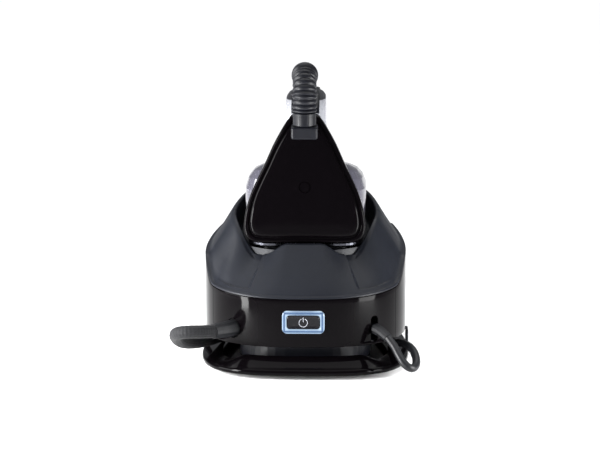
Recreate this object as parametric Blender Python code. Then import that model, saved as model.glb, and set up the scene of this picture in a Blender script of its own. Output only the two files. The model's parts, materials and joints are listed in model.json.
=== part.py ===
"""Steam generator iron: a pressing iron resting on its base station.

Frame: metres, +Z up.  The heel of the iron and the rear panel of the station
face -Y, the nose points to +Y, and the origin is on the floor under the middle
of the station.  The iron is built in its own tilted frame, whose origin is the
bottom of the heel, and an empty puts it on the sloping rest.
"""

import math

import bmesh
import bpy
from mathutils import Vector

# ---------------------------------------------------------------- iron sizes
GAP = 0.0003                 # air between two neighbouring pieces
IRON_LENGTH = 0.231          # soleplate, heel to nose
IRON_WIDTH = 0.1214          # widest place of the body shell
SOLE_INSET = 0.002           # soleplate edge inside the body shell
SOLE_THICK = 0.004
SKIRT_TOP = 0.024            # heat skirt, above the underside of the sole
SKIRT_WALL = 0.004
SHELL_WALL = 0.0025          # iron body shell
DECK_HEEL = 0.085            # height of the body deck at the heel
DECK_FALL = 0.20             # deck slope towards the nose
DECK_INSET = 0.024           # body side to the edge of the flat deck
WIDEST_IRON = 0.100          # from the heel to the widest place
HEEL_RAKE = 0.20             # forward lean of the heel
HEEL_THICK = 0.010           # heel cover
PLUG_RADIUS = 0.0054
PLUG_HEIGHT = 0.0586
SLEEVE_RADIUS = 0.0112       # hose socket on the heel
SLEEVE_BACK = 0.0102         # socket axis, from the heel line
COLLAR_LOW = 0.1084
COLLAR_TOP = 0.1208
SLEEVE_TOP = 0.1337
RELIEF_RADIUS = 0.0100
RELIEF_RIB = 0.0016
FLANGE_RADIUS = 0.0134
GRIP_WIDTH = 0.028
GRIP_DEPTH = 0.0067
PIN_RADIUS = 0.0015
PIN_CLEAR = 0.0003
TRIGGER_WIDTH = 0.018

# ------------------------------------------------------------- station sizes
HEEL_GAP = 0.007             # recess wall behind the heel
SIDE_GAP = 0.0093            # recess wall beside the body
NOSE_GAP = 0.015             # recess wall in front of the nose
RING_REAR = 0.046            # width of the cradle ring behind the heel
RING_SIDE = 0.031
RING_NOSE = 0.055
FLARE_REAR = 0.008           # tray beyond the body
FLARE_SIDE = 0.003
FLARE_NOSE = 0.010
WIDEST_BASE = 0.118          # from the rear panel to the widest place
FOOT_HEIGHT = 0.004
FOOT_RADIUS = 0.009
TRAY_EDGE = 0.0095           # top of the tray's upright edge
LIP_REAR = 0.0205            # top of the tray lip behind the station
LIP_SIDE = 0.0125            # and beside it, where the hose goes in
LIP_WIDTH = 0.018
CHANNEL_WIDTH = 0.0175
CHANNEL_FLOOR = 0.0085
BODY_BOTTOM = 0.031
WALL = 0.003                 # station panels
PAN_THICK = 0.003
SEAM_REAR = 0.078            # lower edge of the cradle at the rear
SLOPE = 0.10                 # rise of seam, crest and rest per metre of length
REST_RISE = 0.0357           # underside of the sole above the seam plane
FLOOR_RISE = 0.0320          # recess floor above the seam plane
FLOOR_THICK = 0.003
CREST_RISE = 0.0585          # crest of the ring above the seam plane
SADDLE_RISE = 0.0427         # crest in the middle of the rear
NOTCH_RISE = 0.0290          # crest at the two creases
SHOULDER_RISE = 0.0200       # top of the side shells above the seam plane
SHOULDER_RUN = 0.040         # length over which it rises
PANEL_SHARE = 0.886          # half width of the rear panel as a share of the body
CREASE_SHARE = 0.54          # place of the creases, in the same way
BUTTON_RISE = 0.0247         # button centre above the body's lower edge
LIGHT_WIDTH = 0.0406         # light ring round the button
LIGHT_HEIGHT = 0.0218
LIGHT_BAND = 0.0040
LIGHT_DEPTH = 0.008
LIGHT_PROUD = 0.0010
BUTTON_TRAVEL = 0.0015
BUTTON_DEPTH = 0.009
SWITCH_SIZE = 0.013
HOSE_DIAMETER = 0.013
CORD_DIAMETER = 0.008
EXIT_RISE = 0.0150           # hose and cord outlets above the body's lower edge
HOSE_EXIT_X = -0.069
CORD_EXIT_X = 0.0685
HOSE_HOLE_RADIUS = 0.0095
CORD_SLOT_WIDTH = 0.0090
CORD_SLOT_HEIGHT = 0.0260
TANK_LENGTH = 0.101          # along the station, from its back to the nose
TANK_WALL = 0.0025
MOUTH_WIDTH = 0.040          # filling mouth in the nose of the tank
MOUTH_HEIGHT = 0.016
MOUTH_DROP = 0.010           # below the top of the tank
HOLD_WIDTH = 0.060           # finger hold in the nose of the tank
HOLD_HEIGHT = 0.015
HOLD_DEPTH = 0.022
VALVE_RADIUS = 0.006
VALVE_X = 0.030
VALVE_REACH = 0.010          # valve behind the back of the tank
BOILER_RADIUS = 0.042
BOILER_HEIGHT = 0.052
JACKET_THICK = 0.005
PUMP_RADIUS = 0.016
PUMP_LENGTH = 0.060
CAP_RADIUS = 0.0150          # descaling cap in the right-hand side
CAP_Y = 0.015                # its place along the station
CLIP_THICK = 0.0025
CLIP_TOP = 0.0270
CLIP_LENGTH = 0.020

# ------------------------------------------------------------ derived places
IRON_HALF = IRON_WIDTH / 2
TILT = math.atan(SLOPE)
RUN = IRON_LENGTH * math.cos(TILT)
RECESS_HALF = IRON_HALF + SIDE_GAP
BODY_HALF = RECESS_HALF + RING_SIDE
TRAY_HALF = BODY_HALF + FLARE_SIDE
BODY_LENGTH = RING_REAR + HEEL_GAP + RUN + NOSE_GAP + RING_NOSE
TRAY_LENGTH = FLARE_REAR + BODY_LENGTH + FLARE_NOSE
TRAY_REAR = -TRAY_LENGTH / 2
TRAY_NOSE = TRAY_LENGTH / 2
BODY_REAR = TRAY_REAR + FLARE_REAR
BODY_NOSE = TRAY_NOSE - FLARE_NOSE
RECESS_REAR = BODY_REAR + RING_REAR
RECESS_NOSE = BODY_NOSE - RING_NOSE
HEEL_Y = RECESS_REAR + HEEL_GAP
WIDEST = BODY_REAR + WIDEST_BASE
TANK_BACK = BODY_NOSE - TANK_LENGTH

ROUND = 56                   # points round a large outline
CRADLE_ROUND = 72            # points round the cradle
BASE_SHAPE = (2.6, 1.0, 1.15)
TRAY_SHAPE = (3.2, 1.0, 1.15)
SOLE_SHAPE = (6.0, 1.25, 1.0)


# ------------------------------------------------------------------- helpers
def seam_z(y):
    """Height of the sloping seam plane at a place along the station."""
    return SEAM_REAR + SLOPE * (y - BODY_REAR)


def shoulder(y):
    """Rise of the side shells above the seam plane, none at either end."""
    depth = WIDEST - BODY_REAR
    power = BASE_SHAPE[0]
    corner = WIDEST - depth * (1.0 - PANEL_SHARE ** power) ** (1.0 / power)
    rear = smooth_step(corner, corner + SHOULDER_RUN, y)
    return SHOULDER_RISE * rear * (1.0 - smooth_step(TANK_BACK - SHOULDER_RUN, TANK_BACK, y))


def material(name, colour, roughness, metallic=0.0, alpha=1.0):
    """Plain Principled material, made once for each name."""
    found = bpy.data.materials.get(name)
    if found:
        return found
    made = bpy.data.materials.new(name)
    made.use_nodes = True
    shader = made.node_tree.nodes["Principled BSDF"]
    shader.inputs["Base Color"].default_value = (*colour, 1.0)
    shader.inputs["Roughness"].default_value = roughness
    shader.inputs["Metallic"].default_value = metallic
    shader.inputs["Alpha"].default_value = alpha
    made.diffuse_color = (*colour, alpha)
    return made


def black_gloss():
    return material("black_gloss", (0.010, 0.010, 0.012), 0.12)


def black_satin():
    return material("black_satin", (0.018, 0.020, 0.024), 0.45)


def slate():
    return material("slate_matte", (0.024, 0.029, 0.037), 0.55)


def pearl():
    return material("pearl_gloss", (0.78, 0.78, 0.80), 0.18)


def smoke():
    return material("smoke_clear", (0.08, 0.09, 0.11), 0.15, 0.0, 0.5)


def light_blue():
    return material("light_guide", (0.62, 0.80, 1.0), 0.30)


def rubber():
    return material("rubber", (0.016, 0.016, 0.017), 0.75)


def braid():
    return material("braided_sleeve", (0.014, 0.014, 0.016), 0.85)


def steel():
    return material("steel", (0.55, 0.56, 0.58), 0.30, 1.0)


def aluminium():
    return material("aluminium", (0.66, 0.67, 0.69), 0.38, 1.0)


def brass():
    return material("brass", (0.70, 0.52, 0.22), 0.32, 1.0)


def board_green():
    return material("board_green", (0.02, 0.14, 0.06), 0.50)


def felt():
    return material("felt", (0.62, 0.60, 0.54), 0.95)


def white_plastic():
    return material("white_plastic", (0.72, 0.72, 0.70), 0.45)


def finish_object(name, mesh_data, surface, parent=None, smooth=40.0):
    """Object with a material, outward normals and smooth round faces."""
    work = bmesh.new()
    work.from_mesh(mesh_data)
    bmesh.ops.remove_doubles(work, verts=work.verts, dist=1e-6)
    bmesh.ops.recalc_face_normals(work, faces=work.faces)
    work.to_mesh(mesh_data)
    work.free()
    mesh_data.shade_smooth()
    mesh_data.set_sharp_from_angle(angle=math.radians(smooth))
    mesh_data.materials.append(surface)
    made = bpy.data.objects.new(name, mesh_data)
    bpy.context.scene.collection.objects.link(made)
    made.parent = parent
    return made


def skin(name, loops, surface, parent=None, closed=False, smooth=40.0):
    """Solid through a row of equal loops, capped or joined end to end."""
    count = len(loops[0])
    points = [point for loop in loops for point in loop]
    faces = []
    bands = len(loops) if closed else len(loops) - 1
    for k in range(bands):
        low = k * count
        high = ((k + 1) % len(loops)) * count
        for i in range(count):
            j = (i + 1) % count
            faces.append((low + i, low + j, high + j, high + i))
    if not closed:
        faces.append(tuple(range(count)))
        faces.append(tuple(range(len(points) - count, len(points))))
    data = bpy.data.meshes.new(name)
    data.from_pydata(points, [], faces)
    return finish_object(name, data, surface, parent, smooth)


def signed_power(value, power):
    return math.copysign(abs(value) ** power, value)


def plan_point(half, rear, nose, widest, shape, angle):
    """Point of a plan outline: squarish behind the widest place, tapered ahead."""
    rear_power, side_power, tip_power = shape
    across = math.cos(angle)
    along = math.sin(angle)
    if along >= 0.0:
        x = half * signed_power(across, side_power)
        y = widest + (nose - widest) * along ** tip_power
    else:
        x = half * signed_power(across, 2.0 / rear_power)
        y = widest - (widest - rear) * (-along) ** (2.0 / rear_power)
    return x, y


def plan_angles(start=0.0, end=2 * math.pi, count=ROUND, whole=True):
    steps = count if whole else count - 1
    return [start + (end - start) * i / steps for i in range(count)]


def body_plan(inset, angles):
    return [plan_point(BODY_HALF - inset, BODY_REAR + inset, BODY_NOSE - inset,
                       WIDEST, BASE_SHAPE, a) for a in angles]


def tray_plan(inset, angles):
    return [plan_point(TRAY_HALF - inset, TRAY_REAR + inset, TRAY_NOSE - inset,
                       WIDEST, TRAY_SHAPE, a) for a in angles]


def recess_plan(inset, angles):
    return [plan_point(RECESS_HALF - inset, RECESS_REAR + inset, RECESS_NOSE - inset,
                       WIDEST, BASE_SHAPE, a) for a in angles]


def sole_plan(inset, angles, rear=0.0):
    return [plan_point(IRON_HALF - inset, rear + inset, IRON_LENGTH - inset,
                       WIDEST_IRON, SOLE_SHAPE, a) for a in angles]


def at_height(points, z):
    return [(x, y, z) for x, y in points]


def on_slope(points, rise):
    return [(x, y, seam_z(y) + rise) for x, y in points]


def on_shoulder(points, outline, rise):
    """Loop above the upper edge of the casing, whose height is read on its outline."""
    return [(x, y, seam_z(y) + shoulder(oy) + rise)
            for (x, y), (_, oy) in zip(points, outline)]


def smooth_step(low, high, value):
    share = min(max((value - low) / (high - low), 0.0), 1.0)
    return share * share * (3.0 - 2.0 * share)


def mix(a, b, share):
    return a + (b - a) * share


def spline(points, per_span, closed=False):
    """Points of a smooth Catmull-Rom curve through the given points."""
    count = len(points)
    made = []
    spans = count if closed else count - 1
    for k in range(spans):
        if closed:
            four = [points[(k + d) % count] for d in (-1, 0, 1, 2)]
        else:
            four = [points[min(max(k + d, 0), count - 1)] for d in (-1, 0, 1, 2)]
        a, b, c, d = (Vector(p) for p in four)
        for i in range(per_span):
            t = i / per_span
            made.append(0.5 * ((2 * b) + (c - a) * t + (2 * a - 5 * b + 4 * c - d) * t ** 2
                               + (3 * b - a - 3 * c + d) * t ** 3))
    if not closed:
        made.append(Vector(points[-1]))
    return made


def block(name, low, high, surface, parent=None, bevel=0.0):
    """Box between two corners, with its edges rounded."""
    data = bpy.data.meshes.new(name)
    work = bmesh.new()
    bmesh.ops.create_cube(work, size=1.0)
    size = Vector(high) - Vector(low)
    middle = (Vector(high) + Vector(low)) / 2
    for vertex in work.verts:
        vertex.co = Vector((vertex.co.x * size.x, vertex.co.y * size.y,
                            vertex.co.z * size.z)) + middle
    if bevel:
        bmesh.ops.bevel(work, geom=work.edges[:], offset=bevel, segments=2,
                        profile=0.5, affect="EDGES")
    work.to_mesh(data)
    work.free()
    return finish_object(name, data, surface, parent)


def round_bar(name, start, end, radius, surface, parent=None, sides=28, bevel=0.0,
              hole=0.0):
    """Cylinder or tube between two points, with its rims rounded."""
    a = Vector(start)
    b = Vector(end)
    axis = (b - a).normalized()
    side = axis.orthogonal().normalized()
    other = axis.cross(side)

    def ring(centre, reach):
        return [centre + reach * (math.cos(t) * side + math.sin(t) * other)
                for t in plan_angles(count=sides)]

    loops = [ring(a, radius - bevel)]
    if bevel:
        loops.append(ring(a + axis * bevel, radius))
        loops.append(ring(b - axis * bevel, radius))
    loops.append(ring(b, radius - bevel) if bevel else ring(b, radius))
    if not hole:
        return skin(name, loops, surface, parent)
    loops.append(ring(b, hole))
    loops.append(ring(a, hole))
    return skin(name, loops, surface, parent, closed=True)


def combine(target, tool, operation):
    """Boolean that is applied at once, and its tool removed."""
    change = target.modifiers.new("combine", "BOOLEAN")
    change.operation = operation
    change.solver = "EXACT"
    change.object = tool
    bpy.context.view_layer.update()
    graph = bpy.context.evaluated_depsgraph_get()
    data = bpy.data.meshes.new_from_object(target.evaluated_get(graph))
    target.modifiers.clear()
    target.data = data
    data.shade_smooth()
    data.set_sharp_from_angle(angle=math.radians(40.0))
    bpy.data.objects.remove(tool)


def cut(target, cutter):
    combine(target, cutter, "DIFFERENCE")


def rounded_rectangle(half_width, half_height, radius, per_corner=6):
    """Corner points of a rectangle with round corners, anticlockwise."""
    points = []
    for sx, sy, start in ((1, 1, 0), (-1, 1, 90), (-1, -1, 180), (1, -1, 270)):
        for i in range(per_corner + 1):
            a = math.radians(start + 90.0 * i / per_corner)
            points.append((sx * (half_width - radius) + radius * math.cos(a),
                           sy * (half_height - radius) + radius * math.sin(a)))
    return points


def panel_loop(half_width, half_height, radius, y, z):
    """Round-cornered loop that faces the rear."""
    return [(px, y, z + pz) for px, pz in rounded_rectangle(half_width, half_height, radius)]


def wall(name, plan, angles, low, high, surface, thick=WALL):
    """Upright strip that follows a plan outline, with a sloping upper edge.

    The edge's height is read from a point's own place and its outline's place.
    """
    outer = plan(0.0, angles)
    inner = plan(thick, angles)
    loops = []
    for (ox, oy), (ix, iy) in zip(outer, inner):
        loops.append([(ox, oy, low), (ox, oy, high(oy, oy)), (ix, iy, high(iy, oy)),
                      (ix, iy, low)])
    return skin(name, loops, surface)


# ------------------------------------------------------------- station: tray
def base_tray():
    """Flared tray with a lip, and the open channel where hose and cord lie."""
    angles = plan_angles()
    outer = body_plan(0.0, angles)

    def lip_top(i):
        behind = outer[i][1] < WIDEST
        share = abs(outer[i][0]) / BODY_HALF
        rear = 1.0 - smooth_step(0.55, 0.85, share) if behind else 0.0
        return mix(LIP_SIDE, LIP_REAR, rear)

    def lip_loop(inset, share):
        points = tray_plan(inset, angles)
        return [(x, y, mix(TRAY_EDGE, lip_top(i), share)) for i, (x, y) in enumerate(points)]

    loops = [
        at_height(tray_plan(0.0040, angles), FOOT_HEIGHT),
        at_height(tray_plan(0.0008, angles), FOOT_HEIGHT + 0.0008),
        at_height(tray_plan(0.0, angles), FOOT_HEIGHT + 0.0020),
        at_height(tray_plan(0.0, angles), TRAY_EDGE - 0.0010),
        lip_loop(0.0008, 0.06),
        lip_loop(LIP_WIDTH * 0.35, 0.38),
        lip_loop(LIP_WIDTH * 0.70, 0.80),
        lip_loop(LIP_WIDTH * 0.92, 1.0),
        lip_loop(LIP_WIDTH + 0.0012, 0.93),
        at_height(tray_plan(LIP_WIDTH + 0.0025, angles), CHANNEL_FLOOR),
    ]
    skin("base_tray", loops, black_gloss())


def base_core():
    """Pedestal between the channel and the body."""
    angles = plan_angles(count=48)
    inset = LIP_WIDTH + 0.0025 + CHANNEL_WIDTH
    loops = [
        at_height(tray_plan(inset, angles), CHANNEL_FLOOR + GAP),
        at_height(tray_plan(inset + 0.001, angles), BODY_BOTTOM - GAP),
    ]
    skin("base_core", loops, black_satin())


def feet():
    """Four rubber feet under the tray."""
    places = ((-1, TRAY_REAR + 0.060), (1, TRAY_REAR + 0.060), (-1, TRAY_NOSE - 0.110),
              (1, TRAY_NOSE - 0.110))
    for number, (side, y) in enumerate(places, 1):
        x = side * (TRAY_HALF - 0.045)
        round_bar(f"rubber_foot_{number}", (x, y, 0.0), (x, y, FOOT_HEIGHT - GAP),
                  FOOT_RADIUS, rubber(), bevel=0.0008)


def cord_clips():
    """Thin tongues on the tray edge that keep hose and cord in the channel."""
    for name, side in (("cord_clip_left", -1), ("cord_clip_right", 1)):
        low = (min(side * TRAY_HALF, side * (TRAY_HALF - CLIP_THICK)), WIDEST - CLIP_LENGTH / 2,
               TRAY_EDGE + 0.0015)
        high = (max(side * TRAY_HALF, side * (TRAY_HALF - CLIP_THICK)), WIDEST + CLIP_LENGTH / 2,
                CLIP_TOP)
        block(name, low, high, black_satin(), bevel=0.0006)


# ----------------------------------------------------------- station: casing
def chassis_pan():
    """Floor of the casing, which carries what is inside."""
    angles = plan_angles(count=48)
    inset = WALL + GAP
    loops = [at_height(body_plan(inset, angles), BODY_BOTTOM),
             at_height(body_plan(inset, angles), BODY_BOTTOM + PAN_THICK)]
    skin("chassis_pan", loops, black_satin())


def panel_angle():
    """Angle on the plan outline where the rear panel ends."""
    return math.acos(PANEL_SHARE ** (BASE_SHAPE[0] / 2.0))


def tank_angle():
    """Angle on the plan outline at the back of the water tank."""
    share = (TANK_BACK - WIDEST) / (BODY_NOSE - WIDEST)
    return math.asin(share ** (1.0 / BASE_SHAPE[2]))


def outlet_place(x):
    """Point on the outside of the rear panel at a given x, and its normal."""
    share = abs(x) / BODY_HALF
    power = BASE_SHAPE[0]
    depth = WIDEST - BODY_REAR
    y = WIDEST - depth * (1.0 - share ** power) ** (1.0 / power)
    slope_x = math.copysign(share ** (power - 1.0) / BODY_HALF, x)
    slope_y = -((WIDEST - y) / depth) ** (power - 1.0) / depth
    return Vector((x, y, BODY_BOTTOM + EXIT_RISE)), Vector((slope_x, slope_y, 0)).normalized()


def rear_panel():
    """Curved glossy panel with openings for button, hose and cord."""
    edge = panel_angle() + GAP / BODY_HALF
    angles = plan_angles(-math.pi + edge, -edge, 45, whole=False)
    panel = wall("rear_panel", body_plan, angles, BODY_BOTTOM,
                 lambda y, outline_y: seam_z(y) - GAP, black_gloss())
    z = BODY_BOTTOM + BUTTON_RISE
    half_w = LIGHT_WIDTH / 2 + GAP
    half_h = LIGHT_HEIGHT / 2 + GAP
    cutter = skin("cutter", [panel_loop(half_w, half_h, 0.005, BODY_REAR - 0.010, z),
                             panel_loop(half_w, half_h, 0.005, BODY_REAR + 0.015, z)], steel())
    cut(panel, cutter)
    place, normal = outlet_place(HOSE_EXIT_X)
    cutter = round_bar("cutter", place + normal * 0.015, place - normal * 0.015,
                       HOSE_HOLE_RADIUS, steel())
    cut(panel, cutter)
    place, normal = outlet_place(CORD_EXIT_X)
    side = Vector((-normal.y, normal.x, 0))
    outline = rounded_rectangle(CORD_SLOT_WIDTH / 2, CORD_SLOT_HEIGHT / 2,
                                CORD_SLOT_WIDTH / 2 - 0.0002)
    cutter = skin("cutter", [[place + normal * s + side * px + Vector((0, 0, pz))
                              for px, pz in outline] for s in (0.015, -0.015)], steel())
    cut(panel, cutter)


def side_top(y, outline_y):
    """Upper edge of the side shells."""
    return seam_z(y) + shoulder(outline_y) - GAP


def shared_angles(start, end):
    """The cradle's own angles between two ends, so that both edges match."""
    step = 2 * math.pi / CRADLE_ROUND
    inside = [k * step for k in range(-CRADLE_ROUND, CRADLE_ROUND)
              if start + 0.2 * step < k * step < end - 0.2 * step]
    return [start] + inside + [end]


def side_shells():
    """Left and right casing walls from the rear panel to the water tank."""
    start = -panel_angle() + GAP / BODY_HALF
    end = tank_angle() - 2 * GAP / BODY_HALF
    right = shared_angles(start, end)
    left = [math.pi - a for a in reversed(right)]
    wall("side_shell_left", body_plan, left, BODY_BOTTOM, side_top, black_gloss())
    shell = wall("side_shell_right", body_plan, right, BODY_BOTTOM, side_top, black_gloss())
    cutter = round_bar("cutter", (BODY_HALF - 0.030, CAP_Y, cap_z()),
                       (BODY_HALF + 0.010, CAP_Y, cap_z()), CAP_RADIUS + GAP, steel())
    cut(shell, cutter)


def cap_z():
    """Height of the descaling cap: mid-height of the side shell."""
    return (BODY_BOTTOM + seam_z(CAP_Y)) / 2


def cradle_top():
    """Cover with a raised ring round the recess where the iron rests.

    Each loop lies a share of the way from the body outline to the recess
    outline, at its own height, and the heights sink behind the heel.
    """
    angles = plan_angles(count=CRADLE_ROUND)
    outer = body_plan(0.0, angles)
    inner = recess_plan(0.0, angles)
    side = ((0.0, 0.0), (0.0, 0.0014), (0.035, 0.0024), (0.10, 0.0036), (0.18, 0.0072),
            (0.30, 0.0160), (0.48, 0.0288), (0.66, 0.0425), (0.83, 0.0550), (0.93, CREST_RISE),
            (1.0, 0.0560))

    def crest(i):
        """Height of the crest as a share of the full ring, round the outline."""
        x, y = outer[i]
        share = abs(x) / BODY_HALF
        if y > WIDEST:
            return 1.0
        middle = mix(SADDLE_RISE, NOTCH_RISE + 0.002, smooth_step(0.22, CREASE_SHARE, share))
        outside = mix(NOTCH_RISE, CREST_RISE, smooth_step(0.64, 1.04, share))
        return (middle if share < CREASE_SHARE else outside) / CREST_RISE

    def fullness(i):
        """1 where the section bulges like the sides, 0 where it is a flat slope."""
        x, y = outer[i]
        if y > WIDEST:
            return 1.0
        return smooth_step(CREASE_SHARE, 1.0, abs(x) / BODY_HALF)

    def ring(share, rise, drop=0.0):
        loop = []
        for i, ((ox, oy), (ix, iy)) in enumerate(zip(outer, inner)):
            x = mix(ox, ix, share)
            y = mix(oy, iy, share)
            straight = CREST_RISE * min(share / 0.85, 1.0) ** 0.9
            height = rise
            if 0.05 < share < 0.9:
                height = mix(straight, rise, fullness(i))
            if share > 0.05:
                height *= crest(i)
            edge = shoulder(oy)
            height = edge + height * (1.0 - edge / CREST_RISE)
            loop.append((x, y, seam_z(y) + height - drop))
        return loop

    foot = recess_plan(0.0020, angles)
    under = recess_plan(-FLOOR_THICK, angles)
    loops = [
        on_slope(recess_plan(0.010, angles), FLOOR_RISE - FLOOR_THICK),
        on_slope(under, FLOOR_RISE - FLOOR_THICK),
    ]
    for share, rise in ((0.88, 0.0560), (0.62, 0.0390), (0.38, 0.0205), (0.22, 0.0100)):
        loops.append(ring(share, rise, drop=FLOOR_THICK))
    loops.append(on_shoulder(body_plan(WALL + 0.0010, angles), outer, 0.0020))
    loops.append(on_shoulder(body_plan(WALL, angles), outer, 0.0))
    loops.extend(ring(share, rise) for share, rise in side)
    loops.append(on_slope(foot, FLOOR_RISE + 0.0015))
    loops.append(on_slope(recess_plan(0.0045, angles), FLOOR_RISE))
    skin("cradle_top", loops, slate(), smooth=50.0)


# ------------------------------------------------------ station: button panel
def button_z():
    return BODY_BOTTOM + BUTTON_RISE


def light_ring():
    """Translucent frame round the power button."""
    z = button_z()
    front = BODY_REAR - LIGHT_PROUD
    half_w = LIGHT_WIDTH / 2
    half_h = LIGHT_HEIGHT / 2
    edge = 0.0008
    inner_w = half_w - LIGHT_BAND
    inner_h = half_h - LIGHT_BAND
    loops = [panel_loop(half_w, half_h, 0.005, front + LIGHT_DEPTH, z),
             panel_loop(half_w, half_h, 0.005, front + edge, z),
             panel_loop(half_w - edge, half_h - edge, 0.0045, front, z),
             panel_loop(inner_w + edge, inner_h + edge, 0.0035, front, z),
             panel_loop(inner_w, inner_h, 0.003, front + edge, z),
             panel_loop(inner_w, inner_h, 0.003, front + LIGHT_DEPTH, z)]
    skin("button_light_ring", loops, light_blue(), closed=True)


def power_button():
    """Wide push button with a short stem that reaches the switch."""
    z = button_z()
    front = BODY_REAR - LIGHT_PROUD - 0.0002
    half_w = LIGHT_WIDTH / 2 - LIGHT_BAND - GAP
    half_h = LIGHT_HEIGHT / 2 - LIGHT_BAND - GAP
    loops = [panel_loop(half_w - 0.0040, half_h - 0.0030, 0.0020, front + 0.0002, z),
             panel_loop(half_w - 0.0010, half_h - 0.0010, 0.0025, front, z),
             panel_loop(half_w, half_h, 0.0030, front + 0.0010, z),
             panel_loop(half_w, half_h, 0.0030, front + BUTTON_DEPTH, z),
             panel_loop(0.0042, 0.0042, 0.0040, front + BUTTON_DEPTH + 0.0002, z),
             panel_loop(0.0030, 0.0030, 0.0029, front + BUTTON_DEPTH + 0.0050, z)]
    skin("power_button", loops, black_satin())


def power_switch():
    """Push switch behind the button, and the board that carries it."""
    z = button_z()
    front = BODY_REAR - LIGHT_PROUD - 0.0002 + BUTTON_DEPTH + 0.0050 + BUTTON_TRAVEL + GAP
    half = SWITCH_SIZE / 2
    block("power_switch", (-half, front, z - half), (half, front + SWITCH_SIZE, z + half),
          white_plastic(), bevel=0.0008)
    back = front + SWITCH_SIZE + GAP
    block("control_board", (-0.040, back, BODY_BOTTOM + PAN_THICK + 0.004),
          (0.040, back + 0.0016, seam_z(back) - 0.006), board_green())


# ------------------------------------------------------- station: water tank
def tank_span(inset, back):
    """Angles on the plan outline ahead of a given place along the station."""
    share = (back - WIDEST) / (BODY_NOSE - inset - WIDEST)
    start = math.asin(share ** (1.0 / BASE_SHAPE[2]))
    return plan_angles(start, math.pi - start, 49, whole=False)


def mouth_low():
    return seam_z(BODY_NOSE) - GAP - MOUTH_DROP - MOUTH_HEIGHT


def tank_bottom():
    return BODY_BOTTOM + PAN_THICK + GAP


def valve_z():
    return BODY_BOTTOM + 0.020


def water_tank():
    """Hollow tank in the nose, with a filling mouth and a finger hold."""
    low = tank_bottom()
    span = tank_span(0.0, TANK_BACK)
    shape = body_plan(0.0, span)
    tank = skin("water_tank", [at_height(shape, low), on_slope(shape, -GAP)], smoke())
    span = tank_span(TANK_WALL, TANK_BACK + TANK_WALL)
    shape = body_plan(TANK_WALL, span)
    cavity = skin("cavity", [at_height(shape, low + TANK_WALL),
                             on_slope(shape, -GAP - TANK_WALL)], smoke())
    hold_low = low + 0.004
    hold_back = BODY_NOSE - HOLD_DEPTH
    half = HOLD_WIDTH / 2
    cut(cavity, block("cutter", (-half - TANK_WALL, hold_back - TANK_WALL, low - 0.01),
                      (half + TANK_WALL, BODY_NOSE + 0.01, hold_low + HOLD_HEIGHT + TANK_WALL),
                      smoke()))
    cut(tank, cavity)
    cut(tank, block("cutter", (-half, hold_back, hold_low),
                    (half, BODY_NOSE + 0.01, hold_low + HOLD_HEIGHT), smoke()))
    half = MOUTH_WIDTH / 2
    cut(tank, block("cutter", (-half, BODY_NOSE - 0.020, mouth_low()),
                    (half, BODY_NOSE + 0.010, mouth_low() + MOUTH_HEIGHT), smoke()))
    return tank


def fill_flap():
    """Curved flap that closes the filling mouth and swings outwards."""
    half = MOUTH_WIDTH / 2 - GAP
    start = math.acos(half / BODY_HALF)
    span = plan_angles(start, math.pi - start, 17, whole=False)
    low = mouth_low() + GAP
    wall("fill_flap", body_plan, span, low, lambda y, outline_y: mouth_low() + MOUTH_HEIGHT - GAP,
         black_gloss(), thick=TANK_WALL)


def tank_valve():
    """Outlet on the back of the tank, the seal it enters and the wall round it."""
    z = valve_z()
    round_bar("tank_valve", (VALVE_X, TANK_BACK - VALVE_REACH, z), (VALVE_X, TANK_BACK - GAP, z),
              VALVE_RADIUS, white_plastic(), bevel=0.0008)
    round_bar("dock_seal", (VALVE_X, TANK_BACK - 0.0085, z), (VALVE_X, TANK_BACK - 0.0043, z),
              VALVE_RADIUS + 0.0035, rubber(), hole=VALVE_RADIUS + GAP)
    back = TANK_BACK - 0.0040
    front = TANK_BACK - 0.0015
    share = ((front - WIDEST) / (BODY_NOSE - WIDEST)) ** (1.0 / BASE_SHAPE[2])
    half = BODY_HALF * math.sqrt(1.0 - share ** 2) - WALL - 0.002
    plate = block("bulkhead", (-half, back, tank_bottom()), (half, front, seam_z(back) - GAP),
                  black_satin())
    cut(plate, round_bar("cutter", (VALVE_X, back - 0.005, z), (VALVE_X, front + 0.005, z),
                         VALVE_RADIUS + 0.0006, steel()))


# -------------------------------------------------------- station: steam side
def steam_generator():
    """Pressure boiler with its felt jacket and its steam valve."""
    y = BODY_REAR + 0.095
    low = BODY_BOTTOM + PAN_THICK + GAP
    top = low + BOILER_HEIGHT
    round_bar("steam_generator", (0, y, low), (0, y, top), BOILER_RADIUS, aluminium(),
              sides=48, bevel=0.004)
    reach = BOILER_RADIUS + GAP
    round_bar("boiler_jacket", (0, y, low + 0.002), (0, y, top - 0.004),
              reach + JACKET_THICK, felt(), sides=48, hole=reach + 0.0002)
    block("steam_valve", (-0.012, y - 0.014, top + GAP), (0.012, y + 0.014, top + 0.020),
          brass(), bevel=0.0015)


def pump():
    """Pump between the tank valve and the boiler, on two short tubes."""
    z = valve_z()
    front = TANK_BACK - 0.020
    back = front - PUMP_LENGTH
    round_bar("pump", (VALVE_X, back, z), (VALVE_X, front, z), PUMP_RADIUS, black_satin(),
              bevel=0.002)
    round_bar("inlet_tube", (VALVE_X, front + GAP, z), (VALVE_X, TANK_BACK - VALVE_REACH - GAP, z),
              0.004, rubber(), sides=20)
    reach = BOILER_RADIUS + JACKET_THICK + 2 * GAP
    y = BODY_REAR + 0.095 + math.sqrt(reach ** 2 - (VALVE_X - 0.004) ** 2)
    round_bar("feed_tube", (VALVE_X, y + 0.001, z), (VALVE_X, back - GAP, z), 0.003, rubber(),
              sides=20)


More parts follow.
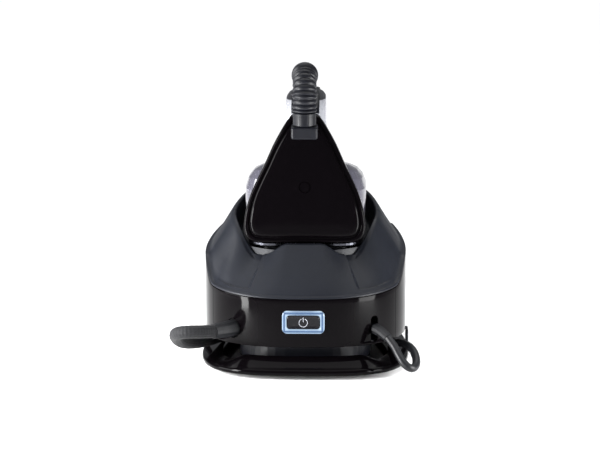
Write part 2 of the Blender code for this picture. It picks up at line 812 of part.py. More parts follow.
def descaling_cap():
    """Round cap with a finger bar, which turns out of the side."""
    z = cap_z()
    share = ((CAP_Y - WIDEST) / (BODY_NOSE - WIDEST)) ** (1.0 / BASE_SHAPE[2])
    face = BODY_HALF * math.sqrt(1.0 - share ** 2)
    cap = round_bar("descaling_cap", (face - 0.010, CAP_Y, z), (face + 0.0025, CAP_Y, z),
                    CAP_RADIUS, black_satin(), sides=40, bevel=0.0015)
    for side in (-1, 1):
        low = (face - 0.0005, CAP_Y - 0.020, z + min(side * 0.0025, side * 0.0200))
        high = (face + 0.010, CAP_Y + 0.020, z + max(side * 0.0025, side * 0.0200))
        cut(cap, block("cutter", low, high, steel()))


# --------------------------------------------------------------- iron: frame
def iron_frame():
    """Empty at the bottom of the heel, tilted as the rest is."""
    frame = bpy.data.objects.new("iron_frame", None)
    bpy.context.scene.collection.objects.link(frame)
    frame.location = (0, HEEL_Y, seam_z(HEEL_Y) + REST_RISE)
    frame.rotation_euler = (TILT, 0, 0)
    return frame


def rest_pads():
    """Silicone pads on the recess floor that carry the hot sole."""
    places = (("rest_pad_left", -0.030, HEEL_Y + 0.035), ("rest_pad_right", 0.030, HEEL_Y + 0.035),
              ("rest_pad_nose", 0.0, HEEL_Y + RUN - 0.060))
    for name, x, y in places:
        outline = [(x + px, y + py) for px, py in rounded_rectangle(0.012, 0.022, 0.006)]
        skin(name, [on_slope(outline, FLOOR_RISE + GAP), on_slope(outline, REST_RISE - GAP)],
             rubber())


def deck_z(y):
    """Height of the iron's sloping deck in the iron's frame."""
    return DECK_HEEL - DECK_FALL * y


def soleplate(frame):
    angles = plan_angles()
    loops = [at_height(sole_plan(SOLE_INSET + 0.0030, angles), 0.0),
             at_height(sole_plan(SOLE_INSET + 0.0008, angles), 0.0006),
             at_height(sole_plan(SOLE_INSET, angles), 0.0020),
             at_height(sole_plan(SOLE_INSET, angles), SOLE_THICK)]
    skin("soleplate", loops, steel(), frame)


def heat_skirt(frame):
    """Black ring between the sole and the body, open to the inside."""
    angles = plan_angles()
    rear = HEEL_THICK + GAP + HEEL_RAKE * SKIRT_TOP
    low = SOLE_THICK + GAP
    loops = [at_height(sole_plan(0.0022, angles, rear), low),
             at_height(sole_plan(0.0012, angles, rear), low + 0.004),
             at_height(sole_plan(0.0008, angles, rear), SKIRT_TOP),
             at_height(sole_plan(SKIRT_WALL, angles, rear), SKIRT_TOP),
             at_height(sole_plan(SKIRT_WALL + 0.001, angles, rear), low)]
    skin("heat_skirt", loops, black_satin(), frame, closed=True)


def heating_block(frame):
    """Cast block with the steam chamber, its cover and the thermostat."""
    angles = plan_angles(count=48)
    rear = HEEL_THICK + HEEL_RAKE * SKIRT_TOP
    low = SOLE_THICK + GAP
    inset = SKIRT_WALL + 0.006
    loops = [at_height(sole_plan(inset, angles, rear), low),
             at_height(sole_plan(inset + 0.002, angles, rear), SKIRT_TOP - 0.004)]
    skin("heating_block", loops, aluminium(), frame)
    low = SKIRT_TOP - 0.004 + GAP
    loops = [at_height(sole_plan(inset + 0.008, angles, rear), low),
             at_height(sole_plan(inset + 0.008, angles, rear), low + 0.0015)]
    skin("steam_chamber_cover", loops, steel(), frame)
    low += 0.0015 + GAP
    round_bar("thermostat", (0, 0.075, low), (0, 0.075, low + 0.014), 0.010,
              white_plastic(), frame, bevel=0.001)


def body_levels():
    """Inset and share of the height of each level of the iron's body."""
    return ((0.0010, 0.0), (0.0, 0.28), (0.0, 0.50), (0.0030, 0.70), (0.0085, 0.86),
            (0.0165, 0.955), (DECK_INSET, 1.0))


def body_shell(frame):
    """Pearl shell of the iron: a dome with a flat sloping deck, open below."""
    angles = plan_angles()

    def level(inset, share, drop):
        loop = []
        for x, flat_y in sole_plan(inset, angles):
            y = flat_y
            for _ in range(4):
                z = mix(SKIRT_TOP + GAP, deck_z(y), share) - drop * share
                start = HEEL_THICK + GAP + HEEL_RAKE * z
                y = start + flat_y * (IRON_LENGTH - start) / IRON_LENGTH
            loop.append((x, y, z))
        return loop

    def flat_deck(loop, drop):
        return [(x, y, deck_z(y) - drop) for x, y, z in loop]

    outer = [level(inset, share, 0.0) for inset, share in body_levels()]
    outer[-1] = flat_deck(outer[-1], 0.0)
    inner = [level(inset + SHELL_WALL, share, SHELL_WALL) for inset, share in body_levels()]
    inner[-1] = flat_deck(inner[-1], SHELL_WALL)
    skin("body_shell", inner[::-1] + outer, pearl(), frame, smooth=50.0)


# shares of the iron's half width, and heights
HEEL_OUTLINE = ((0.000, 0.0048), (0.610, 0.0048), (0.875, 0.0068), (0.976, 0.0155),
                (0.972, 0.0290), (0.900, 0.0470), (0.780, 0.0640), (0.643, 0.0810),
                (0.514, 0.0980), (0.387, 0.1120), (0.275, 0.1225), (0.175, 0.1275))


def heel_loop(scale, depth, waist=0.058):
    """Rounded triangle of the heel, scaled about its middle, on the raked face."""
    right = [(share * IRON_HALF, z) for share, z in HEEL_OUTLINE]
    left = [(-x, z) for x, z in reversed(right[1:])]
    curve = spline([(x, 0.0, z) for x, z in right + left], 2, closed=True)
    loop = []
    for point in curve:
        x = point.x * scale
        z = waist + (point.z - waist) * scale
        loop.append((x, HEEL_RAKE * z + depth, z))
    return loop


def heel_cover(frame):
    """Rear cover with a raised inner panel inside a black rim."""
    loops = [heel_loop(0.99, HEEL_THICK), heel_loop(1.0, HEEL_THICK - 0.001),
             heel_loop(1.0, 0.0030), heel_loop(0.985, 0.0008), heel_loop(0.965, 0.0),
             heel_loop(0.925, 0.0002), heel_loop(0.915, 0.0014), heel_loop(0.900, 0.0014),
             heel_loop(0.885, -0.0006), heel_loop(0.860, -0.0016), heel_loop(0.820, -0.0020)]
    cover = skin("heel_cover", loops, black_gloss(), frame)
    z = PLUG_HEIGHT
    y = HEEL_RAKE * z
    lean = Vector((0, -1.0, HEEL_RAKE)).normalized()
    centre = Vector((0, y, z))
    cut(cover, round_bar("cutter", centre + lean * 0.008, centre - lean * 0.0025,
                         PLUG_RADIUS + GAP, steel(), frame))
    round_bar("heel_plug", centre - lean * 0.0022, centre + lean * 0.0018, PLUG_RADIUS,
              black_satin(), frame, bevel=0.0003)


HANDLE_STATIONS = ((0.0265, 0.0755, 0.0740, 0.0660, 0.0345), (0.0318, 0.0955, 0.0690, 0.0905, 0.0270),
                   (0.0375, 0.1165, 0.0700, 0.1035, 0.0215), (0.0440, 0.1315, 0.0745, 0.1120, 0.0207),
                   (0.0610, 0.1405, 0.0830, 0.1150, 0.0205), (0.0850, 0.1420, 0.0950, 0.1160, 0.0205),
                   (0.1200, 0.1390, 0.1170, 0.1145, 0.0200), (0.1500, 0.1295, 0.1380, 0.1085, 0.0195),
                   (0.1700, 0.1105, 0.1500, 0.0965, 0.0190), (0.1820, 0.0805, 0.1560, 0.0755, 0.0185),
                   (0.1860, 0.0433, 0.1550, 0.0495, 0.0175))


def handle_stations():
    """Outer and inner edge and half width of each section of the handle."""
    edges = spline([(a, b, w) for a, b, c, d, w in HANDLE_STATIONS], 3)
    inner = spline([(c, d, 0) for a, b, c, d, w in HANDLE_STATIONS], 3)
    made = []
    for out, into in zip(edges, inner):
        made.append((Vector((0, out.x, out.y)), Vector((0, into.x, into.y)), out.z))
    first, last = made[0], made[-1]
    lift = Vector((0, 0, GAP))
    for outer, into, _ in (first, last):
        outer.z = deck_z(outer.y)
        into.z = deck_z(into.y)
        outer += lift
        into += lift
    return made


def strap(name, stations, surface, frame, power=2.6, sides=20):
    """Solid through rounded sections, each between an outer and an inner edge."""
    loops = []
    for outer, inner, half in stations:
        centre = (outer + inner) / 2
        reach = (outer - inner) / 2
        loop = []
        for t in plan_angles(count=sides):
            x = half * signed_power(math.cos(t), 2.0 / power)
            loop.append(centre + Vector((x, 0, 0)) + reach * signed_power(math.sin(t), 2.0 / power))
        loops.append(loop)
    return skin(name, loops, surface, frame, smooth=50.0)


def top_strip(stations, above, below, half):
    """Stations of a strip along the outer edge of the handle."""
    made = []
    for outer, inner, _ in stations:
        up = (outer - inner).normalized()
        made.append((outer + up * above, outer - up * below, half))
    return made


def handle(frame):
    """Handle shell with a channel for the dark grip strip and a trigger bay."""
    stations = handle_stations()
    shell = strap("handle_shell", stations, pearl(), frame)
    first, last = 8, 25
    part = stations[first:last]
    cut(shell, strap("cutter", top_strip(part, 0.004, GRIP_DEPTH, GRIP_WIDTH / 2), steel(),
                     frame, power=9.0))
    inset = [list(s) for s in part]
    for end, other in ((0, 1), (-1, -2)):
        share = GAP / (part[other][0] - part[end][0]).length
        for k in (0, 1):
            inset[end][k] = part[end][k].lerp(part[other][k], share * 1.3)
    strap("handle_grip", top_strip(inset, 0.0006, GRIP_DEPTH - GAP, GRIP_WIDTH / 2 - GAP),
          black_satin(), frame, power=5.0)
    trigger_bay(shell, frame)
    return shell


PIVOT = (0.1460, 0.1072)     # trigger pin, in the iron's frame


def trigger_bay(shell, frame):
    """Pocket under the handle for the trigger, its pin and the microswitch."""
    half = TRIGGER_WIDTH / 2 + 0.0006
    cut(shell, block("cutter", (-half, 0.1245, 0.0998), (half, 0.1525, 0.1152), steel(), frame))
    cut(shell, block("cutter", (-0.0068, 0.100, 0.1035), (0.0068, 0.1232, 0.1293), steel(), frame))
    reach = 0.0178
    cut(shell, round_bar("cutter", (-reach - GAP, *PIVOT), (reach + GAP, *PIVOT),
                         PIN_RADIUS + GAP, steel(), frame, sides=24))
    round_bar("trigger_pin", (-reach, *PIVOT), (reach, *PIVOT), PIN_RADIUS, steel(), frame,
              sides=24)
    block("microswitch", (-0.0062, 0.1010, 0.1191), (0.0062, 0.1222, 0.1289), white_plastic(),
          frame, bevel=0.0005)


def steam_trigger(frame):
    """Finger lever under the handle, with a stem that works the microswitch."""
    half = TRIGGER_WIDTH / 2
    stations = [(Vector((0, 0.0850, 0.1083)), Vector((0, 0.0850, 0.1047)), half - 0.002),
                (Vector((0, 0.0900, 0.1095)), Vector((0, 0.0890, 0.1035)), half),
                (Vector((0, 0.1150, 0.1101)), Vector((0, 0.1145, 0.1043)), half),
                (Vector((0, 0.1400, 0.1101)), Vector((0, 0.1400, 0.1045)), half),
                (Vector((0, 0.1500, 0.1095)), Vector((0, 0.1500, 0.1049)), half - 0.0005)]
    lever = strap("steam_trigger", stations, black_satin(), frame, power=5.0)
    cut(lever, round_bar("cutter", (-0.02, *PIVOT), (0.02, *PIVOT), PIN_RADIUS + PIN_CLEAR,
                         steel(), frame, sides=24))
    stem = round_bar("cutter", (0, 0.1120, 0.1075), (0, 0.1120, 0.1167), 0.0030, steel(),
                     frame, sides=20, bevel=0.0006)
    combine(lever, stem, "UNION")


# ---------------------------------------------------------- hose on the iron
def pipe(name, points, radii, surface, frame=None, sides=20):
    """Solid pipe along points, with its own radius at each of them."""
    places = [Vector(p) for p in points]
    loops = []
    side = None
    for k, place in enumerate(places):
        ahead = places[min(k + 1, len(places) - 1)] - places[max(k - 1, 0)]
        ahead.normalize()
        if side is None:
            side = ahead.orthogonal().normalized()
        side = (side - ahead * side.dot(ahead)).normalized()
        other = ahead.cross(side)
        loops.append([place + radii[k] * (math.cos(t) * side + math.sin(t) * other)
                      for t in plan_angles(count=sides)])
    return skin(name, loops, surface, frame, smooth=60.0)


def relief_curve():
    """Middle line of the bent hose relief above its socket."""
    start = Vector((0, SLEEVE_BACK, SLEEVE_TOP + GAP))
    route = [start, start + Vector((0, 0.0005, 0.0125)), start + Vector((0, 0.0030, 0.0215)),
             start + Vector((0, 0.0085, 0.0285)), start + Vector((0, 0.0165, 0.0318)),
             start + Vector((0, 0.0260, 0.0328))]
    return spline(route, 7)


def hose_socket(frame):
    """Collar block, socket sleeve and the ribbed relief on the heel."""
    back = SLEEVE_BACK - 0.0105
    front = HEEL_RAKE * COLLAR_LOW - 0.0020 - GAP
    block("hose_collar", (-0.0128, back, COLLAR_LOW), (0.0128, front, COLLAR_TOP),
          black_satin(), frame, bevel=0.0018)
    round_bar("socket_sleeve", (0, SLEEVE_BACK, COLLAR_TOP + GAP), (0, SLEEVE_BACK, SLEEVE_TOP),
              SLEEVE_RADIUS, black_satin(), frame, sides=36, bevel=0.0006)
    curve = relief_curve()
    radii = []
    count = len(curve) - 1
    for k in range(count + 1):
        t = k / count
        rib = RELIEF_RIB * (0.5 - 0.5 * math.cos(2 * math.pi * 7.0 * min(t / 0.82, 1.0)))
        radius = mix(RELIEF_RADIUS + 0.0006, RELIEF_RADIUS - 0.0004, t) + rib
        if t > 0.84:
            radius = mix(FLANGE_RADIUS, FLANGE_RADIUS - 0.0025, (t - 0.84) / 0.16)
        radii.append(radius)
    pipe("hose_relief", curve, radii, rubber(), frame, sides=16)


# ------------------------------------------------------------- hose and cord
HOSE_FEED = (
    (-0.0872, -0.1771, 0.0465), (-0.0965, -0.1858, 0.0478), (-0.1080, -0.1905, 0.0485),
    (-0.1175, -0.1875, 0.0475), (-0.1220, -0.1785, 0.0450), (-0.1225, -0.1650, 0.0410),
    (-0.1200, -0.1500, 0.0362), (-0.1145, -0.1345, 0.0315), (-0.1065, -0.1185, 0.0268),
    (-0.0970, -0.1010, 0.0232), (-0.0890, -0.0800, 0.0210), (-0.0820, -0.0560, 0.0190),
    (-0.0765, -0.0300, 0.0163), (-0.0715, -0.0050, 0.0156), (-0.0679, 0.0200, 0.0156),
    (-0.0633, 0.0450, 0.0156), (-0.0574, 0.0700, 0.0156), (-0.0514, 0.0900, 0.0156),
    (-0.0440, 0.1100, 0.0160), (-0.0372, 0.1250, 0.0180), (-0.0300, 0.1390, 0.0197),
    (-0.0215, 0.1530, 0.0200), (-0.0125, 0.1670, 0.0200), (-0.0055, 0.1810, 0.0190),
    (-0.0020, 0.1960, 0.0135), (0.0002, 0.2100, 0.0090), (0.0033, 0.2240, 0.0085),
    (0.0085, 0.2365, 0.0085), (0.0165, 0.2450, 0.0085))
HOSE_RISE = (
    (-0.0785, 0.2940, 0.0255), (-0.0800, 0.2800, 0.0335), (-0.0770, 0.2670, 0.0475),
    (-0.0700, 0.2560, 0.0660), (-0.0615, 0.2475, 0.0850))
HOSE_UPPER = (
    (-0.0606, 0.2468, 0.0869), (-0.0515, 0.2395, 0.1060), (-0.0410, 0.2305, 0.1270),
    (-0.0310, 0.2190, 0.1490), (-0.0225, 0.2040, 0.1710), (-0.0160, 0.1860, 0.1920),
    (-0.0115, 0.1650, 0.2120), (-0.0085, 0.1410, 0.2300), (-0.0065, 0.1150, 0.2460),
    (-0.0050, 0.0870, 0.2590), (-0.0040, 0.0570, 0.2690), (-0.0030, 0.0260, 0.2760),
    (-0.0020, -0.0060, 0.2815), (-0.0010, -0.0370, 0.2860), (-0.0005, -0.0670, 0.2895),
    (-0.0002, -0.0870, 0.2905), (0.0, -0.1036, 0.2888))
CORD_FEED = (
    (0.0819, -0.1750, 0.0393), (0.0870, -0.1815, 0.0335), (0.0920, -0.1890, 0.0255),
    (0.0970, -0.1940, 0.0190), (0.1025, -0.1950, 0.0155), (0.1065, -0.1890, 0.0152),
    (0.1085, -0.1780, 0.0175), (0.1080, -0.1650, 0.0210), (0.1055, -0.1510, 0.0240),
    (0.1015, -0.1370, 0.0250), (0.0965, -0.1210, 0.0240), (0.0915, -0.1040, 0.0210),
    (0.0870, -0.0850, 0.0180), (0.0815, -0.0640, 0.0158), (0.0768, -0.0410, 0.0135),
    (0.0730, -0.0180, 0.0131), (0.0697, 0.0070, 0.0131), (0.0660, 0.0310, 0.0131),
    (0.0605, 0.0570, 0.0131), (0.0540, 0.0820, 0.0131), (0.0470, 0.1030, 0.0136),
    (0.0430, 0.1220, 0.0165), (0.0425, 0.1400, 0.0178), (0.0460, 0.1590, 0.0160),
    (0.0530, 0.1760, 0.0090), (0.0630, 0.1930, 0.0050), (0.0740, 0.2120, 0.0045),
    (0.0810, 0.2330, 0.0045), (0.0850, 0.2560, 0.0045), (0.0875, 0.2800, 0.0045),
    (0.0885, 0.3040, 0.0045), (0.0885, 0.3280, 0.0045), (0.0870, 0.3510, 0.0045),
    (0.0825, 0.3740, 0.0045), (0.0755, 0.3950, 0.0045), (0.0680, 0.4140, 0.0045),
    (0.0630, 0.4330, 0.0045), (0.0605, 0.4480, 0.0045))
CORD_TAIL = (
    (-0.0615, 0.4540, 0.0133), (-0.0655, 0.4420, 0.0152), (-0.0695, 0.4315, 0.0175),
    (-0.0722, 0.4228, 0.0185))
HOSE_COIL = (0.330, 0.0715, 0.0073, 0.0018, 0.0288)    # y, mean radius, half width, low, top
CORD_COIL = (0.4702, 0.0475, 0.0082, 0.0018, 0.0180)
TIE_THICK = 0.0012
PLUG_START = (-0.0724, 0.4224, 0.0185)
PLUG_FACE = (-0.0835, 0.3800, 0.0185)


def cord_tube(name, route, diameter, surface):
    """Round tube along a smooth curve through the chosen points."""
    data = bpy.data.curves.new(name, "CURVE")
    data.dimensions = "3D"
    data.bevel_depth = diameter / 2
    data.bevel_resolution = 2
    data.use_fill_caps = True
    places = spline(route, 1)
    line = data.splines.new("POLY")
    line.points.add(len(places) - 1)
    for point, place in zip(line.points, places):
        point.co = (*place, 1.0)
    data.materials.append(surface)
    made = bpy.data.objects.new(name, data)
    bpy.context.scene.collection.objects.link(made)
    return made


def coil(name, tie_name, numbers, surface):
    """Outer shape of a wound coil, and the strap that holds it."""
    y, radius, half, low, top = numbers
    edge = min(half, 0.006)
    profile = ((radius + half, low + edge), (radius + half, top - edge),
               (radius + half - edge * 0.4, top - edge * 0.4), (radius + half - edge, top),
               (radius - half + edge, top), (radius - half + edge * 0.4, top - edge * 0.4),
               (radius - half, top - edge), (radius - half, low + edge),
               (radius - half + edge * 0.4, low + edge * 0.4), (radius - half + edge, low),
               (radius + half - edge, low), (radius + half - edge * 0.4, low + edge * 0.4))
    loops = [[(r * math.cos(a), y + r * math.sin(a), z) for r, z in profile]
             for a in plan_angles(count=32)]
    skin(name, loops, surface, closed=True)
    inner = half + 0.0008
    outer = inner + TIE_THICK
    far = y + radius
    frames = []
    for x in (-0.006, 0.006):
        frames.append([(x, far - outer, low - 0.0003 - TIE_THICK),
                       (x, far + outer, low - 0.0003 - TIE_THICK),
                       (x, far + outer, top + 0.0003 + TIE_THICK),
                       (x, far - outer, top + 0.0003 + TIE_THICK)])
        frames.append([(x, far - inner, low - 0.0003), (x, far + inner, low - 0.0003),
                       (x, far + inner, top + 0.0003), (x, far - inner, top + 0.0003)])
    order = [frames[0], frames[2], frames[3], frames[1]]
    skin(tie_name, order, rubber(), closed=True)


def outlet_sleeves():
    """Rubber sleeves where hose and cord leave the rear panel."""
    place, normal = outlet_place(HOSE_EXIT_X)
    route = [place - normal * 0.008, place - normal * 0.002, place + normal * 0.004,
             place + normal * 0.014, place + normal * 0.024 + Vector((-0.002, 0, 0.0005))]
    curve = spline(route, 3)
    radii = [mix(0.0090, 0.0074, k / (len(curve) - 1)) for k in range(len(curve))]
    pipe("hose_outlet_sleeve", curve, radii, rubber(), sides=14)
    place, normal = outlet_place(CORD_EXIT_X)
    route = [place - normal * 0.006, place - normal * 0.001, place + normal * 0.004,
             place + normal * 0.012 + Vector((0, 0, -0.0022)),
             place + normal * 0.020 + Vector((0, 0, -0.0060))]
    curve = spline(route, 3)
    radii = [0.0041 if k < 5 else mix(0.0056, 0.0045, (k - 5) / (len(curve) - 6))
             for k in range(len(curve))]
    pipe("cord_outlet_sleeve", curve, radii, rubber(), sides=12)


def mains_plug():
    """Round mains plug with a tapered relief and two pins."""
    start = Vector(PLUG_START)
    face = Vector(PLUG_FACE)
    ahead = (face - start).normalized()
    length = (face - start).length
    stations = ((0.0, 0.0046), (0.010, 0.0058), (0.016, 0.0095), (0.021, 0.0125),
                (0.029, 0.0128), (0.034, 0.0150), (0.037, 0.0176), (length, 0.0178))
    plug = pipe("mains_plug", [start + ahead * d for d, _ in stations],
                [r for _, r in stations], black_satin(), sides=24)
    across = ahead.cross(Vector((0, 0, 1))).normalized() * 0.0095
    for side in (-1, 1):
        foot = face + across * side
        combine(plug, round_bar("pin", foot - ahead * 0.003, foot + ahead * 0.019, 0.0024,
                                black_satin(), sides=16, bevel=0.0008), "UNION")


def hose_and_cord():
    cord_tube("hose_feed", HOSE_FEED, HOSE_DIAMETER, braid())
    cord_tube("hose_rise", HOSE_RISE, HOSE_DIAMETER, braid())
    cord_tube("hose_upper", HOSE_UPPER, HOSE_DIAMETER, braid())
    coil("hose_coil", "hose_tie", HOSE_COIL, braid())
    cord_tube("mains_cord", CORD_FEED, CORD_DIAMETER, rubber())
    cord_tube("mains_tail", CORD_TAIL, CORD_DIAMETER, rubber())
    coil("mains_coil", "mains_tie", CORD_COIL, rubber())
    outlet_sleeves()
    mains_plug()


def clear_scene():
    for item in list(bpy.data.objects):
        bpy.data.objects.remove(item)


def main():
    clear_scene()
    base_tray()
    base_core()
    feet()
    cord_clips()
    chassis_pan()
    rear_panel()
    side_shells()
    cradle_top()
    light_ring()
    power_button()
    power_switch()
    water_tank()
    fill_flap()
    tank_valve()
    steam_generator()
    pump()
    descaling_cap()
    rest_pads()
    frame = iron_frame()
    soleplate(frame)
    heat_skirt(frame)
    heating_block(frame)
    body_shell(frame)
    heel_cover(frame)
    handle(frame)
    steam_trigger(frame)
    hose_socket(frame)
    hose_and_cord()


main()
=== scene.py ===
"""Looks of a steam generator iron that rests on its base station.

Metres, +Z up.  The rear panel and the iron's heel face -Y, the nose points to
+Y.  Every shape below is a surface worked out with numpy: a profile carried
round a plan outline, or a section carried along a path.
"""

import json
import math

import bmesh
import bpy
import numpy as np
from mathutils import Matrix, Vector


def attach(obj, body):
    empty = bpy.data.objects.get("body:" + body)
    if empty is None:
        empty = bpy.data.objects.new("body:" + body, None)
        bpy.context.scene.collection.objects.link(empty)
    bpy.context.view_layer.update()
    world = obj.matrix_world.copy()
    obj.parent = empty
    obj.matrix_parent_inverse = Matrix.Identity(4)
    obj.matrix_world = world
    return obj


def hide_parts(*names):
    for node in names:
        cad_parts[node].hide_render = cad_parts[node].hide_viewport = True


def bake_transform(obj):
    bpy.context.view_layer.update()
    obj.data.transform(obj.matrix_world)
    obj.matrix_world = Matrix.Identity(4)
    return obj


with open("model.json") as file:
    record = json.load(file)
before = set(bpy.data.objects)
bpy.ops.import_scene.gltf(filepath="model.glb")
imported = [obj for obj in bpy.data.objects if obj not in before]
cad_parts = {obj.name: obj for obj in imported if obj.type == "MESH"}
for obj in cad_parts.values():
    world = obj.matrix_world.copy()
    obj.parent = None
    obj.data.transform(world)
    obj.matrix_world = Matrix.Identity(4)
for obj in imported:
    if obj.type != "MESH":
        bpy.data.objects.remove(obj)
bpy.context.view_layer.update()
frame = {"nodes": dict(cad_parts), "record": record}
PI = math.pi

# ------------------------------------------------- sizes shared with the CAD
GAP = 0.0003
BODY_REAR, BODY_NOSE, BODY_HALF = -0.177427, 0.175427, 0.101
TRAY_REAR, TRAY_NOSE, TRAY_HALF = -0.185427, 0.185427, 0.104
RECESS_REAR, RECESS_NOSE, RECESS_HALF = -0.131427, 0.120427, 0.070
WIDEST = -0.059427
BASE_SHAPE = (2.6, 1.0, 1.15)
TRAY_SHAPE = (3.2, 1.0, 1.15)
SEAM_REAR, SLOPE = 0.078, 0.10
CREST_RISE, SADDLE_RISE, NOTCH_RISE = 0.0585, 0.0427, 0.0290
FLOOR_RISE = 0.0320
SHOULDER_RISE, SHOULDER_RUN = 0.0200, 0.040
CREASE_SHARE, PANEL_SHARE = 0.54, 0.886
BODY_BOTTOM = 0.031
TANK_BACK = 0.074427
BUTTON_Z = 0.0557
RING_HALF_WIDTH, RING_HALF_HEIGHT = 0.0203, 0.0109
SCOOP = 0.0030                   # depth of the hollow in each rear lobe
RING_BAND = 0.0040               # width of the lit guide round the button
SYMBOL_Z = BUTTON_Z - 0.0002     # middle of the symbol's ring
SYMBOL_RADIUS, SYMBOL_PEN, SYMBOL_GAP = 0.0040, 0.00032, 0.0015
SYMBOL_BAR_RISE, SYMBOL_BAR_HALF = 0.0029, 0.0024
BRAID_PITCH, BRAID_YARNS = 0.0050, 8.0    # length and count of the braid's repeat
HOSE_OUTLET_X, HOSE_OUTLET_RADIUS = -0.069, 0.0095
CORD_OUTLET_X = 0.0685
PARTING_Z = 0.2605               # where the handle turns from pale to dark
IRON_HALF, HEEL_RAKE = 0.0607, 0.20
HEEL_PLACE = (0.0, -0.124427, 0.1190)
TILT = math.atan(SLOPE)


# ------------------------------------------------------------- small helpers
def seam_z(y):
    """Height of the sloping seam plane: a straight line in y."""
    return SEAM_REAR + SLOPE * (y - BODY_REAR)


def smooth_step(low, high, value):
    """0 below low, 1 above high, a cubic ease between."""
    share = np.clip((value - low) / (high - low), 0.0, 1.0)
    return share * share * (3.0 - 2.0 * share)


def shoulder(y):
    """Rise of the side covers above the seam plane: eased up behind the widest
    place and down again before the tank."""
    corner = WIDEST - (WIDEST - BODY_REAR) * (
        1.0 - PANEL_SHARE ** BASE_SHAPE[0]) ** (1.0 / BASE_SHAPE[0])
    return (SHOULDER_RISE * smooth_step(corner, corner + SHOULDER_RUN, y)
            * (1.0 - smooth_step(TANK_BACK - SHOULDER_RUN, TANK_BACK, y)))


def power(value, exponent):
    """Power that keeps the sign."""
    return np.sign(value) * np.abs(value) ** exponent


def plan(half, rear, nose, widest, shape, angles):
    """Plan outline: a superellipse behind the widest place, and ahead of it a
    cosine width over a powered sine length."""
    rear_power, side_power, tip_power = shape
    across, along = np.cos(angles), np.sin(angles)
    ahead = along >= 0.0
    x = half * np.where(ahead, power(across, side_power), power(across, 2.0 / rear_power))
    y = widest + np.where(ahead, (nose - widest) * np.abs(along) ** tip_power,
                          -(widest - rear) * np.abs(along) ** (2.0 / rear_power))
    return x, y


def body_plan(inset, angles):
    """Outline of the station's casing, drawn in by an inset."""
    return plan(BODY_HALF - inset, BODY_REAR + inset, BODY_NOSE - inset, WIDEST,
                BASE_SHAPE, angles)


def tray_plan(inset, angles):
    """Outline of the tray below the casing, drawn in by an inset."""
    return plan(TRAY_HALF - inset, TRAY_REAR + inset, TRAY_NOSE - inset, WIDEST,
                TRAY_SHAPE, angles)


def recess_plan(inset, angles):
    """Outline of the floor that the iron rests on, drawn in by an inset."""
    return plan(RECESS_HALF - inset, RECESS_REAR + inset, RECESS_NOSE - inset, WIDEST,
                BASE_SHAPE, angles)


def round_angles(count):
    """Even angles once round, the last one short of the first."""
    return np.arange(count) * 2.0 * PI / count


def stack(x, y, z):
    """Loop of points from its three coordinates, any of them one number."""
    x, y, z = np.broadcast_arrays(x, y, z)
    return np.stack([x, y, z], axis=-1).astype(float)


def in_iron(points):
    """Points from the iron's own frame to the shared one: tilt, then shift."""
    x, y, z = points[..., 0], points[..., 1], points[..., 2]
    c, s = math.cos(TILT), math.sin(TILT)
    return stack(x + HEEL_PLACE[0], HEEL_PLACE[1] + y * c - z * s,
                 HEEL_PLACE[2] + y * s + z * c)


def curve_through(points, per_span, closed=False):
    """Catmull-Rom curve: each span is a cubic from its four nearest points."""
    p = np.asarray(points, float)
    if closed:
        q = np.vstack([p[-1:], p, p[:2]])
    else:
        q = np.vstack([p[:1], p, p[-1:]])
    t = (np.arange(per_span) / per_span)[None, :, None]
    a, b, c, d = (q[k:len(q) - 3 + k, None, :] for k in range(4))
    made = 0.5 * (2 * b + (c - a) * t + (2 * a - 5 * b + 4 * c - d) * t ** 2
                  + (3 * b - a - 3 * c + d) * t ** 3)
    made = made.reshape(-1, p.shape[1])
    return made if closed else np.vstack([made, p[-1:]])


def even_path(points, step):
    """The same line with its points at even distances along it."""
    p = np.asarray(points, float)
    run = np.concatenate([[0.0], np.cumsum(np.linalg.norm(np.diff(p, axis=0), axis=1))])
    count = max(int(round(run[-1] / step)), 4) + 1
    at = np.linspace(0.0, run[-1], count)
    return np.stack([np.interp(at, run, p[:, k]) for k in range(3)], axis=1), run[-1]


def surface(name, loops, finish, smooth=35.0, run=None):
    """Skin over a stack of equal round loops, with both its ends capped.

    Row k and point i of the grid are joined to row k + 1 and point i + 1.  With
    a run, u is the length run at each loop and v the share of a turn.
    """
    grid = np.stack([np.asarray(loop, float) for loop in loops])
    rows, count = grid.shape[:2]
    index = np.arange(rows * count).reshape(rows, count)
    low, high = index[:-1], index[1:]
    quads = np.stack([low, np.roll(low, -1, axis=1), np.roll(high, -1, axis=1), high],
                     axis=-1).reshape(-1, 4)
    data = bpy.data.meshes.new(name)
    data.from_pydata(grid.reshape(-1, 3).tolist(), [],
                     quads.tolist() + [index[0].tolist(), index[-1].tolist()])
    if run is not None:
        row = np.repeat(np.arange(rows - 1), count)[:, None] + np.array([0, 0, 1, 1])
        place = np.tile(np.arange(count), rows - 1)[:, None] + np.array([0, 1, 1, 0])
        corners = np.zeros((len(data.loops), 2))
        corners[:row.size] = np.stack([run[row], place / count], axis=-1).reshape(-1, 2)
        layer = data.uv_layers.new(name="UVMap")
        layer.data.foreach_set("uv", corners.ravel())
    return finish_piece(name, data, finish, smooth)


def finish_piece(name, data, finish, smooth=35.0):
    """Object with outward faces, smooth where the surface turns gently."""
    work = bmesh.new()
    work.from_mesh(data)
    bmesh.ops.remove_doubles(work, verts=work.verts, dist=1e-7)
    bmesh.ops.recalc_face_normals(work, faces=work.faces)
    work.to_mesh(data)
    work.free()
    data.shade_smooth()
    data.set_sharp_from_angle(angle=math.radians(smooth))
    data.materials.append(finish)
    made = bpy.data.objects.new(name, data)
    bpy.context.scene.collection.objects.link(made)
    return made


